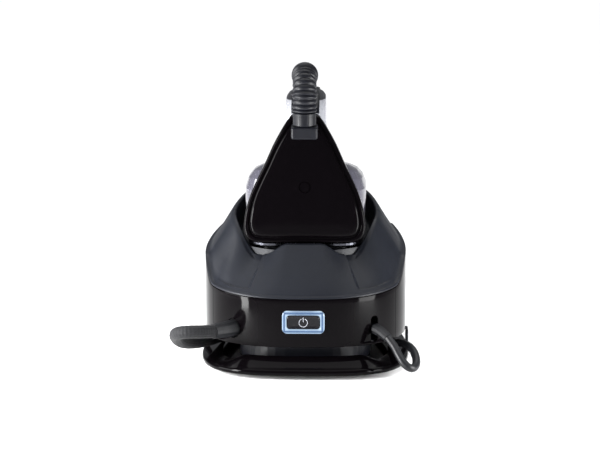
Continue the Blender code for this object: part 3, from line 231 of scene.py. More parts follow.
def cut(piece, tool):
    """Takes the tool's shape out of the piece, and drops the tool."""
    change = piece.modifiers.new("cut", "BOOLEAN")
    change.operation = "DIFFERENCE"
    change.solver = "EXACT"
    change.object = tool
    bpy.context.view_layer.update()
    graph = bpy.context.evaluated_depsgraph_get()
    data = bpy.data.meshes.new_from_object(piece.evaluated_get(graph))
    piece.modifiers.clear()
    piece.data = data
    data.shade_smooth()
    data.set_sharp_from_angle(angle=math.radians(35.0))
    bpy.data.objects.remove(tool)


def frames_along(path):
    """Two unit vectors across each point of a path, carried without twist."""
    ahead = np.gradient(path, axis=0)
    ahead /= np.linalg.norm(ahead, axis=1)[:, None]
    side = np.empty_like(path)
    first = np.cross(ahead[0], (0.0, 0.0, 1.0))
    if np.linalg.norm(first) < 1e-3:
        first = np.array((1.0, 0.0, 0.0))
    side[0] = first / np.linalg.norm(first)
    for k in range(1, len(path)):
        carried = side[k - 1] - ahead[k] * np.dot(side[k - 1], ahead[k])
        side[k] = carried / np.linalg.norm(carried)
    return side, np.cross(ahead, side)


def tube(name, path, radii, finish, sides, relief=None):
    """Round section carried along a path.  relief adds height to the radius at
    each place, from the length run u and the angle v."""
    path = np.asarray(path, float)
    side, other = frames_along(path)
    run = np.concatenate([[0.0], np.cumsum(np.linalg.norm(np.diff(path, axis=0), axis=1))])
    angles = round_angles(sides)
    reach = np.broadcast_to(np.asarray(radii, float), len(path))[:, None] * np.ones(sides)
    if relief is not None:
        reach = reach + relief(run[:, None], angles[None, :])
    loops = (path[:, None, :] + reach[:, :, None] * (
        np.cos(angles)[None, :, None] * side[:, None, :]
        + np.sin(angles)[None, :, None] * other[:, None, :]))
    return surface(name, loops, finish, smooth=60.0, run=run)


def round_tool(start, end, radius, dish=0.0001, sides=64):
    """Round bar between two points, for cutting holes.  Its ends are dished in
    by a tenth of a millimetre."""
    a, b = np.asarray(start, float), np.asarray(end, float)
    axis = (b - a) / np.linalg.norm(b - a)
    side = np.cross(axis, (0.0, 0.0, 1.0))
    side /= np.linalg.norm(side)
    other = np.cross(axis, side)
    turn = round_angles(sides)
    around = np.cos(turn)[:, None] * side + np.sin(turn)[:, None] * other
    depths = dish * (1.0 - np.sin(np.linspace(0.0, PI / 2, 5)))
    loops = [b - axis * depth + around * (radius - depth) for depth in depths]
    loops += [a + axis * depth + around * (radius - depth) for depth in depths[::-1]]
    return surface("tool", loops, GLOSS)


def tilted(piece):
    """Moves a piece's mesh from the iron's frame to the shared one."""
    count = len(piece.data.vertices)
    flat = np.empty(count * 3)
    piece.data.vertices.foreach_get("co", flat)
    piece.data.vertices.foreach_set("co", in_iron(flat.reshape(-1, 3)).ravel())
    piece.data.update()
    return piece


# ----------------------------------------------------------------- materials
NOISE_SPAN = {"From Min": 0.3, "From Max": 0.7}    # where nearly all noise values lie


def linear(hex_text):
    """Linear colour from an sRGB hex value."""
    parts = [int(hex_text[k:k + 2], 16) / 255.0 for k in (1, 3, 5)]
    return [v / 12.92 if v <= 0.04045 else ((v + 0.055) / 1.055) ** 2.4 for v in parts] + [1.0]


def feed(tree, node, inputs):
    """Gives a node's inputs their values or links.  A node given as a value
    stands for its first output."""
    for key, value in inputs.items():
        if isinstance(value, bpy.types.Node):
            value = value.outputs[0]
        if isinstance(value, bpy.types.NodeSocket):
            tree.links.new(value, node.inputs[key])
        else:
            node.inputs[key].default_value = value


def add(tree, kind, settings=None, inputs=None):
    """Adds one node, with its settings and its input values or links."""
    made = tree.nodes.new(kind)
    for key, value in (settings or {}).items():
        setattr(made, key, value)
    feed(tree, made, inputs or {})
    return made


def blank(name, base, rough, **sockets):
    """Principled material with its plain values: the material, its node tree,
    its shader and its Object coordinates."""
    made = bpy.data.materials.new(name)
    made.use_nodes = True
    tree = made.node_tree
    tree.nodes.clear()
    shader = add(tree, "ShaderNodeBsdfPrincipled", None,
                 {"Base Color": linear(base), "Roughness": rough, **sockets})
    add(tree, "ShaderNodeOutputMaterial", None, {"Surface": shader})
    made.diffuse_color = linear(base)
    return made, tree, shader, add(tree, "ShaderNodeTexCoord").outputs["Object"]


def moulded_gloss_black():
    """High-gloss moulded ABS: near black, a hard clear reflection that wanders a
    little where the melt shrank, and faint dulling where hands wipe it."""
    made, tree, shader, place = blank("abs_gloss_black_moulded", "#040304", 0.09,
                                      **{"Specular IOR Level": 0.04, "IOR": 1.5})
    wipe = add(tree, "ShaderNodeTexNoise", None, {"Vector": place, "Scale": 38.0, "Detail": 4.0})
    rough = add(tree, "ShaderNodeMapRange", None,
                {"Value": wipe, **NOISE_SPAN, "To Min": 0.06, "To Max": 0.13})
    shrink = add(tree, "ShaderNodeTexNoise", None,
                 {"Vector": place, "Scale": 14.0, "Detail": 1.0})
    dents = add(tree, "ShaderNodeBump", None,
                {"Height": shrink, "Distance": 0.0004, "Strength": 0.35})
    feed(tree, shader, {"Roughness": rough, "Normal": dents})
    return made


def moulded_satin(name, base, low, high):
    """Spark-eroded plastic: fine even grain that spreads the highlight."""
    made, tree, shader, place = blank(name, base, 0.4, **{"Specular IOR Level": 0.15})
    mottle = add(tree, "ShaderNodeTexNoise", None,
                 {"Vector": place, "Scale": 90.0, "Detail": 3.0})
    rough = add(tree, "ShaderNodeMapRange", None,
                {"Value": mottle, **NOISE_SPAN, "To Min": low, "To Max": high})
    # grain of 0.4 mm, coarser than the real 0.1 mm so that it shows
    pits = add(tree, "ShaderNodeTexNoise", None,
               {"Vector": place, "Scale": 2400.0, "Detail": 1.0})
    dents = add(tree, "ShaderNodeBump", None,
                {"Height": pits, "Distance": 0.00006, "Strength": 0.5})
    feed(tree, shader, {"Roughness": rough, "Normal": dents})
    return made


def moulded_slate():
    """Matt polypropylene with an eroded texture: dark blue grey, soft broad
    highlights and slight unevenness in tone."""
    made, tree, shader, place = blank("polypropylene_slate_textured", "#12151b", 0.5,
                                      **{"Specular IOR Level": 0.15})
    tone = add(tree, "ShaderNodeTexNoise", None, {"Vector": place, "Scale": 24.0, "Detail": 4.0})
    colour = add(tree, "ShaderNodeMix", {"data_type": "RGBA"},
                 {0: tone, 6: linear("#0c0e13"), 7: linear("#111319")})
    rough = add(tree, "ShaderNodeMapRange", None,
                {"Value": tone, **NOISE_SPAN, "To Min": 0.40, "To Max": 0.50})
    # grain of 0.5 mm, coarser than the real 0.15 mm so that it shows
    pits = add(tree, "ShaderNodeTexNoise", None,
               {"Vector": place, "Scale": 2000.0, "Detail": 2.0})
    dents = add(tree, "ShaderNodeBump", None,
                {"Height": pits, "Distance": 0.00009, "Strength": 0.55})
    feed(tree, shader, {"Base Color": colour.outputs[2], "Roughness": rough, "Normal": dents})
    return made


def moulded_grey():
    """Grey gloss ABS with a violet trace under a thin clear coat."""
    made, tree, shader, place = blank("abs_violet_grey_gloss", "#504f58", 0.2,
                                      **{"Coat Weight": 0.3, "Coat Roughness": 0.06})
    tone = add(tree, "ShaderNodeTexNoise", None, {"Vector": place, "Scale": 18.0, "Detail": 3.0})
    colour = add(tree, "ShaderNodeMix", {"data_type": "RGBA"},
                 {0: tone, 6: linear("#3c3b44"), 7: linear("#4a4951")})
    rough = add(tree, "ShaderNodeMapRange", None,
                {"Value": tone, **NOISE_SPAN, "To Min": 0.16, "To Max": 0.24})
    feed(tree, shader, {"Base Color": colour.outputs[2], "Roughness": rough})
    return made


def two_shot_handle():
    """Handle moulded in two shots: pale gloss ABS low down, dark satin above the
    parting height, where the hand goes round."""
    made, tree, shader, place = blank("abs_white_and_satin_two_shot", "#8a8b90", 0.16)
    split = add(tree, "ShaderNodeSeparateXYZ", None, {"Vector": place})
    dark = add(tree, "ShaderNodeMapRange", None,
               {"Value": split.outputs["Z"], "From Min": PARTING_Z,
                "From Max": PARTING_Z + 0.0004})
    colour = add(tree, "ShaderNodeMix", {"data_type": "RGBA"},
                 {0: dark, 6: linear("#8a8b90"), 7: linear("#0e0e13")})
    tone = add(tree, "ShaderNodeTexNoise", None, {"Vector": place, "Scale": 90.0, "Detail": 3.0})
    gloss = add(tree, "ShaderNodeMapRange", None,
                {"Value": tone, **NOISE_SPAN, "To Min": 0.12, "To Max": 0.20})
    rough = add(tree, "ShaderNodeMath", {"operation": "MULTIPLY_ADD"},
                {0: dark, 1: 0.26, 2: gloss})
    feed(tree, shader, {"Base Color": colour.outputs[2], "Roughness": rough})
    return made


def smoked_tank():
    """Smoked clear SAN: dark tinted, half see-through, clean moulded gloss."""
    made, tree, shader, place = blank("san_smoke_clear_moulded", "#1c2026", 0.08, **{
        "Alpha": 0.82, "Specular IOR Level": 0.4, "IOR": 1.57})
    haze = add(tree, "ShaderNodeTexNoise", None, {"Vector": place, "Scale": 30.0, "Detail": 3.0})
    rough = add(tree, "ShaderNodeMapRange", None,
                {"Value": haze, **NOISE_SPAN, "To Min": 0.05, "To Max": 0.12})
    feed(tree, shader, {"Roughness": rough})
    return made


def lit_guide():
    """Frosted acrylic light guide lit from behind: pale lines along both its
    rims, a deeper blue between them and across the middle of its top.

    The distance past the outer rim is the larger of how far x and z pass the
    ring's half sizes, and the blue is deepest half the ring's width inside it.
    """
    made, tree, shader, place = blank("acrylic_light_guide_lit", "#27384c", 0.25, **{
        "Emission Strength": 0.85, "Specular IOR Level": 0.3})
    split = add(tree, "ShaderNodeSeparateXYZ", None, {"Vector": place})
    known = {"x": split.outputs["X"], "z": split.outputs["Z"]}
    for name, operation, first, second in (
            ("away", "ABSOLUTE", "x", 0.0), ("rise", "SUBTRACT", "z", BUTTON_Z),
            ("past x", "SUBTRACT", "away", RING_HALF_WIDTH), ("up", "ABSOLUTE", "rise", 0.0),
            ("past z", "SUBTRACT", "up", RING_HALF_HEIGHT),
            ("edge", "MAXIMUM", "past x", "past z"), ("inside", "ADD", "edge", RING_BAND / 2),
            ("middle", "ABSOLUTE", "inside", 0.0)):
        known[name] = add(tree, "ShaderNodeMath", {"operation": operation},
                          {0: known[first], 1: known.get(second, second)})
    for name, value, low, high, from_share, to_share in (
            ("rims", "middle", 0.0002, RING_BAND * 0.46, 0.0, 1.0),
            ("sides", "away", 0.0060, 0.0190, 0.45, 1.0),
            ("foot", "rise", -0.0070, 0.0060, 0.75, 0.0)):
        known[name] = add(tree, "ShaderNodeMapRange", {"interpolation_type": "SMOOTHSTEP"},
                          {"Value": known[value], "From Min": low, "From Max": high,
                           "To Min": from_share, "To Max": to_share})
    lamps = add(tree, "ShaderNodeMath", {"operation": "MAXIMUM"},
                {0: known["sides"], 1: known["foot"]})
    share = add(tree, "ShaderNodeMath", {"operation": "MULTIPLY"}, {0: known["rims"], 1: lamps})
    glow = add(tree, "ShaderNodeMix", {"data_type": "RGBA"},
               {0: share, 6: linear("#14305a"), 7: linear("#d5ecff")})
    feed(tree, shader, {"Emission Color": glow.outputs[2]})
    return made


def marked_button():
    """Dark gloss ABS button with a grey symbol printed on it: a ring, where the
    distance from its middle is near its radius, open at the top, and an upright
    bar in the gap."""
    made, tree, shader, place = blank("abs_gloss_button_printed", "#0b0b0e", 0.12,
                                      **{"Specular IOR Level": 0.15})
    split = add(tree, "ShaderNodeSeparateXYZ", None, {"Vector": place})
    known = {"x": split.outputs["X"], "z": split.outputs["Z"]}
    for name, operation, first, second in (
            ("away", "ABSOLUTE", "x", 0.0), ("rise", "SUBTRACT", "z", SYMBOL_Z),
            ("xx", "POWER", "away", 2.0), ("zz", "MULTIPLY", "rise", "rise"),
            ("sum", "ADD", "xx", "zz"), ("reach", "SQRT", "sum", 0.0),
            ("past ring", "SUBTRACT", "reach", SYMBOL_RADIUS),
            ("off ring", "ABSOLUTE", "past ring", 0.0),
            ("ring", "LESS_THAN", "off ring", SYMBOL_PEN),
            ("narrow", "LESS_THAN", "away", SYMBOL_GAP), ("above", "GREATER_THAN", "rise", 0.0),
            ("gap", "MULTIPLY", "narrow", "above"), ("lost", "MULTIPLY", "ring", "gap"),
            ("open ring", "SUBTRACT", "ring", "lost"),
            ("past bar", "SUBTRACT", "rise", SYMBOL_BAR_RISE),
            ("off bar", "ABSOLUTE", "past bar", 0.0),
            ("tall", "LESS_THAN", "off bar", SYMBOL_BAR_HALF),
            ("thin", "LESS_THAN", "away", SYMBOL_PEN), ("bar", "MULTIPLY", "tall", "thin"),
            ("mark", "MAXIMUM", "open ring", "bar")):
        known[name] = add(tree, "ShaderNodeMath", {"operation": operation},
                          {0: known[first], 1: known.get(second, second)})
    colour = add(tree, "ShaderNodeMix", {"data_type": "RGBA"},
                 {0: known["mark"], 6: linear("#0b0b0e"), 7: linear("#7d7f85")})
    smear = add(tree, "ShaderNodeTexNoise", None,
                {"Vector": place, "Scale": 60.0, "Detail": 3.0})
    rough = add(tree, "ShaderNodeMapRange", None,
                {"Value": smear, **NOISE_SPAN, "To Min": 0.09, "To Max": 0.16})
    feed(tree, shader, {"Base Color": colour.outputs[2], "Roughness": rough})
    return made


def moulded_rubber(name, base, rough):
    """Moulded rubber: dull, with a faint bloom in patches and open pores."""
    made, tree, shader, place = blank(name, base, rough, **{"Specular IOR Level": 0.22})
    bloom = add(tree, "ShaderNodeTexNoise", None,
                {"Vector": place, "Scale": 120.0, "Detail": 4.0})
    dull = add(tree, "ShaderNodeMapRange", None,
               {"Value": bloom, **NOISE_SPAN, "To Min": rough - 0.07, "To Max": rough + 0.08})
    pores = add(tree, "ShaderNodeTexNoise", None,
                {"Vector": place, "Scale": 3000.0, "Detail": 2.0})
    dents = add(tree, "ShaderNodeBump", None,
                {"Height": pores, "Distance": 0.00005, "Strength": 0.5})
    feed(tree, shader, {"Roughness": dull, "Normal": dents})
    return made


def braided_textile():
    """Braided polyester sleeve: two sets of yarns cross at a slant, as the
    product of two slanted sine waves.  A yarn is about 1 mm wide and is drawn
    1.8 mm wide so that it shows; short fibres give a faint sheen."""
    made, tree, shader, place = blank("polyester_sleeve_braided", "#08090b", 0.7, **{
        "Sheen Weight": 0.04, "Sheen Roughness": 0.5, "Specular IOR Level": 0.18})
    route = add(tree, "ShaderNodeUVMap", {"uv_map": "UVMap"})
    split = add(tree, "ShaderNodeSeparateXYZ", None, {"Vector": route})
    known = {"u": split.outputs["X"], "v": split.outputs["Y"]}
    for name, operation, first, second in (
            ("along", "MULTIPLY", "u", 2.0 * PI / BRAID_PITCH),
            ("around", "MULTIPLY", "v", 2.0 * PI * BRAID_YARNS),
            ("rising", "ADD", "along", "around"), ("falling", "SUBTRACT", "along", "around"),
            ("one wave", "SINE", "rising", 0.5), ("other wave", "SINE", "falling", 0.5),
            ("woven", "MULTIPLY", "one wave", "other wave")):
        known[name] = add(tree, "ShaderNodeMath", {"operation": operation},
                          {0: known[first], 1: known.get(second, second)})
    height = add(tree, "ShaderNodeMapRange", None,
                 {"Value": known["woven"], "From Min": -1.0, "From Max": 1.0})
    fuzz = add(tree, "ShaderNodeTexNoise", None,
               {"Vector": place, "Scale": 2600.0, "Detail": 3.0})
    both = add(tree, "ShaderNodeMath", {"operation": "MULTIPLY_ADD"},
               {0: fuzz, 1: 0.35, 2: height})
    # painted shade: the colour is darker where the weave is low, between the yarns, and lighter
    # on their crossings
    colour = add(tree, "ShaderNodeMix", {"data_type": "RGBA"},
                 {0: height, 6: linear("#040406"), 7: linear("#0e0f12")})
    dents = add(tree, "ShaderNodeBump", None,
                {"Height": both, "Distance": 0.0005, "Strength": 0.9})
    feed(tree, shader, {"Base Color": colour.outputs[2], "Normal": dents})
    return made


def cord_jacket():
    """Soft PVC jacket: dark, even, a dull sheen with fine drawing lines."""
    made, tree, shader, _ = blank("pvc_cord_jacket_extruded", "#0a0b0e", 0.42,
                                  **{"Specular IOR Level": 0.25})
    route = add(tree, "ShaderNodeUVMap", {"uv_map": "UVMap"})
    drawn = add(tree, "ShaderNodeMapping", None, {"Vector": route, "Scale": (30.0, 22.0, 1.0)})
    lines = add(tree, "ShaderNodeTexNoise", None, {"Vector": drawn, "Scale": 3.0, "Detail": 2.0})
    rough = add(tree, "ShaderNodeMapRange", None,
                {"Value": lines, **NOISE_SPAN, "To Min": 0.36, "To Max": 0.5})
    dents = add(tree, "ShaderNodeBump", None,
                {"Height": lines, "Distance": 0.00012, "Strength": 0.4})
    feed(tree, shader, {"Roughness": rough, "Normal": dents})
    return made


def metal(name, base, rough, scale, stretch, depth):
    """Metal with its tool marks: noise stretched along the work's direction."""
    made, tree, shader, place = blank(name, base, rough, **{"Metallic": 1.0})
    drawn = add(tree, "ShaderNodeMapping", None, {"Vector": place, "Scale": stretch})
    marks = add(tree, "ShaderNodeTexNoise", None,
                {"Vector": drawn, "Scale": scale, "Detail": 3.0})
    dull = add(tree, "ShaderNodeMapRange", None,
               {"Value": marks, **NOISE_SPAN, "To Min": rough - 0.07, "To Max": rough + 0.09})
    dents = add(tree, "ShaderNodeBump", None,
                {"Height": marks, "Distance": depth, "Strength": 0.5})
    feed(tree, shader, {"Roughness": dull, "Normal": dents})
    return made


def needled_felt():
    """Glass-wool felt: pale, fully dull, tangled fibres."""
    made, tree, shader, place = blank("glass_felt_needled", "#c9c5b8", 0.95,
                                      **{"Sheen Weight": 0.3})
    fibres = add(tree, "ShaderNodeTexNoise", None,
                 {"Vector": place, "Scale": 900.0, "Detail": 6.0})
    colour = add(tree, "ShaderNodeMix", {"data_type": "RGBA"},
                 {0: fibres, 6: linear("#aca797"), 7: linear("#dad6ca")})
    dents = add(tree, "ShaderNodeBump", None,
                {"Height": fibres, "Distance": 0.0008, "Strength": 0.9})
    feed(tree, shader, {"Base Color": colour.outputs[2], "Normal": dents})
    return made


def two_tone(name, rough, scale, detail, base, dark, light, **sockets):
    """Even surface whose colour varies a little with a fine noise."""
    made, tree, shader, place = blank(name, base, rough, **sockets)
    tone = add(tree, "ShaderNodeTexNoise", None,
               {"Vector": place, "Scale": scale, "Detail": detail})
    colour = add(tree, "ShaderNodeMix", {"data_type": "RGBA"},
                 {0: tone, 6: linear(dark), 7: linear(light)})
    feed(tree, shader, {"Base Color": colour.outputs[2]})
    return made


GLOSS = moulded_gloss_black()
SATIN = moulded_satin("abs_satin_black_moulded", "#0b0c11", 0.34, 0.46)
WHITE = moulded_satin("pbt_white_moulded", "#d8d7d2", 0.38, 0.5)
SLATE = moulded_slate()
GREY = moulded_grey()
HANDLE = two_shot_handle()
SMOKE = smoked_tank()
GUIDE = lit_guide()
BUTTON = marked_button()
RUBBER = moulded_rubber("rubber_black_moulded", "#0c0d10", 0.55)
# softer elastomer of the relief: a little shinier than rubber
RELIEF = moulded_rubber("tpe_relief_moulded", "#0b0c12", 0.44)
BRAID = braided_textile()
JACKET = cord_jacket()
# ground along one way: long fine lines that draw the highlight out
STEEL = metal("stainless_steel_brushed", "#b9babd", 0.28, 60.0, (1.0, 14.0, 14.0), 0.00003)
# cast: an even, slightly rough skin with a dull shine
CAST = metal("aluminium_die_cast", "#c2c3c6", 0.42, 260.0, (1.0, 1.0, 1.0), 0.0001)
# turned on a lathe: warm yellow with fine rings
BRASS = metal("brass_turned", "#c8a557", 0.3, 90.0, (1.0, 1.0, 9.0), 0.00003)
# steel drawn dark as painted shade, so that where it shows in the gap under the heel it stays
# dim: smooth, with faint lines where it slides on cloth
SOLE_DARK_FOR_SHADE = metal("steel_sole_darkened_as_shade", "#3a3b40", 0.22, 40.0, (12.0, 1.0, 1.0), 0.00002)
# glass-epoxy board under green lacquer, with the weave showing faintly
BOARD = two_tone("fr4_board_lacquered", 0.35, 1400.0, 1.0, "#14432a", "#0f3722", "#1a5233")
FELT = needled_felt()
# white backdrop paper: fully matt, with faint fibres
PAPER = two_tone("paper_backdrop_matt", 0.8, 60.0, 3.0, "#f4f4f4", "#f2f2f2", "#f6f6f6",
                 **{"Specular IOR Level": 0.1})
SLOT_FINISH = {"gloss_black": GLOSS, "satin_black": SATIN, "slate_matte": SLATE,
               "pearl": GREY, "smoke_clear": SMOKE, "light_guide": GUIDE,
               "rubber": RUBBER, "braid": BRAID, "steel": STEEL, "aluminium": CAST,
               "brass": BRASS, "board": BOARD, "felt": FELT, "white_plastic": WHITE}
NODE_FINISH = {"handle_shell": HANDLE, "power_button": BUTTON, "soleplate": SOLE_DARK_FOR_SHADE,
               "heel_plug": GLOSS}


def keep_nodes():
    """Every CAD node that stays gets its slot's finish, or one of its own."""
    slots = {row["node"]: row["material_slot"] for row in frame["record"]["subparts"]}
    for name, item in frame["nodes"].items():
        finish = NODE_FINISH.get(name, SLOT_FINISH[slots[name]])
        for place in item.material_slots:
            place.material = finish


# ------------------------------------------------------------ camera and light
def camera_and_lights():
    """Long lens a little above the station, a wide sun overhead, a small bright
    strip low at the left, a panel low at the right and a large soft light far
    out at the left."""
    scene = bpy.context.scene
    scene.view_settings.view_transform = "Standard"
    lens = bpy.data.cameras.new("camera")
    lens.lens = 115.0
    lens.sensor_width = 36.0
    lens.clip_end = 50.0
    camera = bpy.data.objects.new("camera", lens)
    target = Vector((-0.0075, 0.0, 0.1235))
    camera.location = target + Vector((0.049, -1.978, 0.296))
    camera.rotation_euler = (target - camera.location).to_track_quat("-Z", "Y").to_euler()
    scene.collection.objects.link(camera)
    scene.camera = camera

    def area(name, place, aim, width, height, watts):
        lamp = bpy.data.lights.new(name, "AREA")
        lamp.shape = "RECTANGLE"
        lamp.size, lamp.size_y = width, height
        lamp.energy = watts
        made = bpy.data.objects.new(name, lamp)
        made.location = place
        made.rotation_euler = (Vector(aim) - Vector(place)).to_track_quat("-Z", "Y").to_euler()
        made.visible_camera = False
        scene.collection.objects.link(made)

    # a sun with a wide disc lights the floor evenly, so that it stays one white
    sky = bpy.data.lights.new("overhead", "SUN")
    sky.energy = 3.0
    sky.angle = math.radians(70.0)
    made = bpy.data.objects.new("overhead", sky)
    made.rotation_euler = (math.radians(-12.0), 0.0, 0.0)
    scene.collection.objects.link(made)
    area("left_strip", (-0.330, -0.330, 0.11), (-0.057, -0.165, 0.06), 0.075, 0.22, 4.2)
    area("right_panel", (0.420, -0.330, 0.12), (0.06, -0.165, 0.06), 0.22, 0.24, 5.0)
    area("left_soft", (-1.3, -0.35, 0.50), (0.0, -0.1, 0.12), 0.9, 0.8, 40.0)
    world = bpy.data.worlds.new("studio")
    world.use_nodes = True
    back = world.node_tree.nodes["Background"]
    back.inputs["Color"].default_value = (0.93, 0.95, 1.0, 1.0)
    back.inputs["Strength"].default_value = 0.24
    scene.world = world


def studio_floor():
    """Flat white floor that runs on far past the object on every side."""
    half = 60.0
    corners = ((-half, -half, 0.0), (half, -half, 0.0), (half, half, 0.0), (-half, half, 0.0))
    data = bpy.data.meshes.new("studio_floor")
    data.from_pydata(corners, [], [(0, 1, 2, 3)])
    finish_piece("studio_floor", data, PAPER)


# -------------------------------------------------------------- hose and cord
HOSE_DIAMETER, CORD_DIAMETER = 0.013, 0.008
HOSE_FEED = (
    (-0.0865, -0.1765, 0.0465), (-0.0965, -0.1858, 0.0478), (-0.1080, -0.1905, 0.0485),
    (-0.1175, -0.1875, 0.0470), (-0.1220, -0.1785, 0.0434), (-0.1225, -0.1650, 0.0376),
    (-0.1200, -0.1500, 0.0312), (-0.1145, -0.1345, 0.0266), (-0.1065, -0.1185, 0.0238),
    (-0.0970, -0.1010, 0.0222), (-0.0890, -0.0800, 0.0210), (-0.0820, -0.0560, 0.0190),
    (-0.0765, -0.0300, 0.0163), (-0.0715, -0.0050, 0.0156), (-0.0679, 0.0200, 0.0156),
    (-0.0633, 0.0450, 0.0156), (-0.0574, 0.0700, 0.0156), (-0.0514, 0.0900, 0.0156),
    (-0.0440, 0.1100, 0.0160), (-0.0372, 0.1250, 0.0180), (-0.0300, 0.1390, 0.0197),
    (-0.0215, 0.1530, 0.0200), (-0.0125, 0.1670, 0.0200), (-0.0055, 0.1810, 0.0190),
    (-0.0020, 0.1960, 0.0135), (0.0002, 0.2100, 0.0090), (0.0033, 0.2240, 0.0085),
    (0.0085, 0.2365, 0.0085), (0.0165, 0.2450, 0.0085))
HOSE_RISE = (
    (-0.0785, 0.2940, 0.0255), (-0.0800, 0.2800, 0.0335), (-0.0770, 0.2670, 0.0475),
    (-0.0700, 0.2560, 0.0660), (-0.0615, 0.2475, 0.0850))
HOSE_UPPER = (
    (-0.0515, 0.2395, 0.1060), (-0.0410, 0.2305, 0.1270),
    (-0.0310, 0.2190, 0.1490), (-0.0225, 0.2040, 0.1710), (-0.0160, 0.1860, 0.1920),
    (-0.0115, 0.1650, 0.2120), (-0.0085, 0.1410, 0.2300), (-0.0065, 0.1150, 0.2460),
    (-0.0050, 0.0870, 0.2590), (-0.0040, 0.0570, 0.2690), (-0.0030, 0.0260, 0.2760),
    (-0.0020, -0.0060, 0.2815), (-0.0010, -0.0370, 0.2860), (-0.0005, -0.0670, 0.2895),
    (-0.0002, -0.0870, 0.2905), (0.0, -0.1045, 0.2886))
CORD_FEED = (
    (0.0813, -0.1739, 0.0400), (0.0870, -0.1815, 0.0335), (0.0920, -0.1890, 0.0255),
    (0.0970, -0.1940, 0.0190), (0.1025, -0.1950, 0.0155), (0.1065, -0.1890, 0.0152),
    (0.1085, -0.1780, 0.0175), (0.1080, -0.1650, 0.0210), (0.1055, -0.1510, 0.0240),
    (0.1015, -0.1370, 0.0250), (0.0965, -0.1210, 0.0240), (0.0915, -0.1040, 0.0210),
    (0.0870, -0.0850, 0.0180), (0.0815, -0.0640, 0.0158), (0.0768, -0.0410, 0.0135),
    (0.0730, -0.0180, 0.0131), (0.0697, 0.0070, 0.0131), (0.0660, 0.0310, 0.0131),
    (0.0605, 0.0570, 0.0131), (0.0540, 0.0820, 0.0131), (0.0470, 0.1030, 0.0136),
    (0.0430, 0.1220, 0.0165), (0.0425, 0.1400, 0.0178), (0.0460, 0.1590, 0.0160),
    (0.0530, 0.1760, 0.0090), (0.0630, 0.1930, 0.0050), (0.0740, 0.2120, 0.0045),
    (0.0810, 0.2330, 0.0045), (0.0850, 0.2560, 0.0045), (0.0875, 0.2800, 0.0045),
    (0.0885, 0.3040, 0.0045), (0.0885, 0.3280, 0.0045), (0.0870, 0.3510, 0.0045),
    (0.0825, 0.3740, 0.0045), (0.0755, 0.3950, 0.0045), (0.0680, 0.4140, 0.0045),
    (0.0630, 0.4330, 0.0045), (0.0595, 0.4480, 0.0050))
CORD_TAIL = (
    (-0.0585, 0.4570, 0.0137), (-0.0615, 0.4520, 0.0140), (-0.0655, 0.4420, 0.0152),
    (-0.0695, 0.4315, 0.0175), (-0.0724, 0.4224, 0.0185))


def wound(centre_y, degrees, radius_stops, height_stops):
    """Turns of a coil: radius and height are read off straight-line tables of
    the angle turned, eased by a running mean so that each change is smooth."""
    fine = np.arange(degrees[0], degrees[1] + 0.5, 1.0)
    wide = np.arange(degrees[0] - 15.0, degrees[1] + 15.5, 1.0)
    kernel = np.ones(31) / 31
    radius = np.convolve(np.interp(wide, *zip(*radius_stops)), kernel, "valid")[:len(fine)]
    height = np.convolve(np.interp(wide, *zip(*height_stops)), kernel, "valid")[:len(fine)]
    turn = np.radians(fine[::15])
    radius, height = radius[::15], height[::15]
    return stack(radius * np.cos(turn), centre_y + radius * np.sin(turn), height)


def steam_hose():
    """One hose: out of the panel, along the groove under the station, a coil of
    a little over one and a half turns ahead of its nose, then up and over to the
    iron's heel."""
    coil = wound(0.330, (-45.0, 165.0 + 360.0), ((-60, 0.0715), (540, 0.0715)),
                 ((-60, 0.0085), (190, 0.0085), (290, 0.0221), (540, 0.0221)))
    route = np.vstack([HOSE_FEED, coil, HOSE_RISE, HOSE_UPPER])
    path, length = even_path(curve_through(route, 12), 0.0016)

    def braid_relief(u, v):
        """Product of two slanted waves: raised where yarns cross over."""
        along, around = 2.0 * PI * u / BRAID_PITCH, BRAID_YARNS * v
        return 0.00028 * np.sin(along + around) * np.sin(along - around)

    hose = tube("steam_hose", path, HOSE_DIAMETER / 2 - 0.0002, BRAID, sides=32,
                relief=braid_relief)
    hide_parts("hose_feed", "hose_rise", "hose_upper", "hose_coil")
    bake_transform(hose)


def mains_cord():
    """One lead: out of the panel, along the groove under the station, a coil of
    nearly three and a half turns in two layers ahead of its nose, then the
    plug."""
    coil = wound(0.4702, (10.0, 1245.0),
                 ((-30, 0.0600), (0, 0.0560), (25, 0.0515), (300, 0.0515), (345, 0.0435),
                  (895, 0.0435), (945, 0.0515), (1300, 0.0515)),
                 ((-30, 0.0058), (600, 0.0058), (665, 0.0141), (1300, 0.0141)))
    route = np.vstack([CORD_FEED, coil, CORD_TAIL])
    path, length = even_path(curve_through(route, 12), 0.0016)
    cord = tube("mains_lead", path, CORD_DIAMETER / 2 - 0.0001, JACKET, sides=24)
    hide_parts("mains_cord", "mains_tail", "mains_coil")
    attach(cord, "station")


# ------------------------------------------------------------------- cradle
def crest_share(x, y):
    """Height of the ring's crest round the outline, as a share of its full
    height: full at the sides, low at two creases and middling between them."""
    share = np.abs(x) / BODY_HALF
    fall = NOTCH_RISE + 0.002 - SADDLE_RISE
    middle = SADDLE_RISE + fall * smooth_step(0.22, CREASE_SHARE, share)
    outside = NOTCH_RISE + (CREST_RISE - NOTCH_RISE) * smooth_step(0.64, 1.04, share)
    low = np.where(share < CREASE_SHARE, middle, outside) / CREST_RISE
    return np.where(y > WIDEST, 1.0, low)


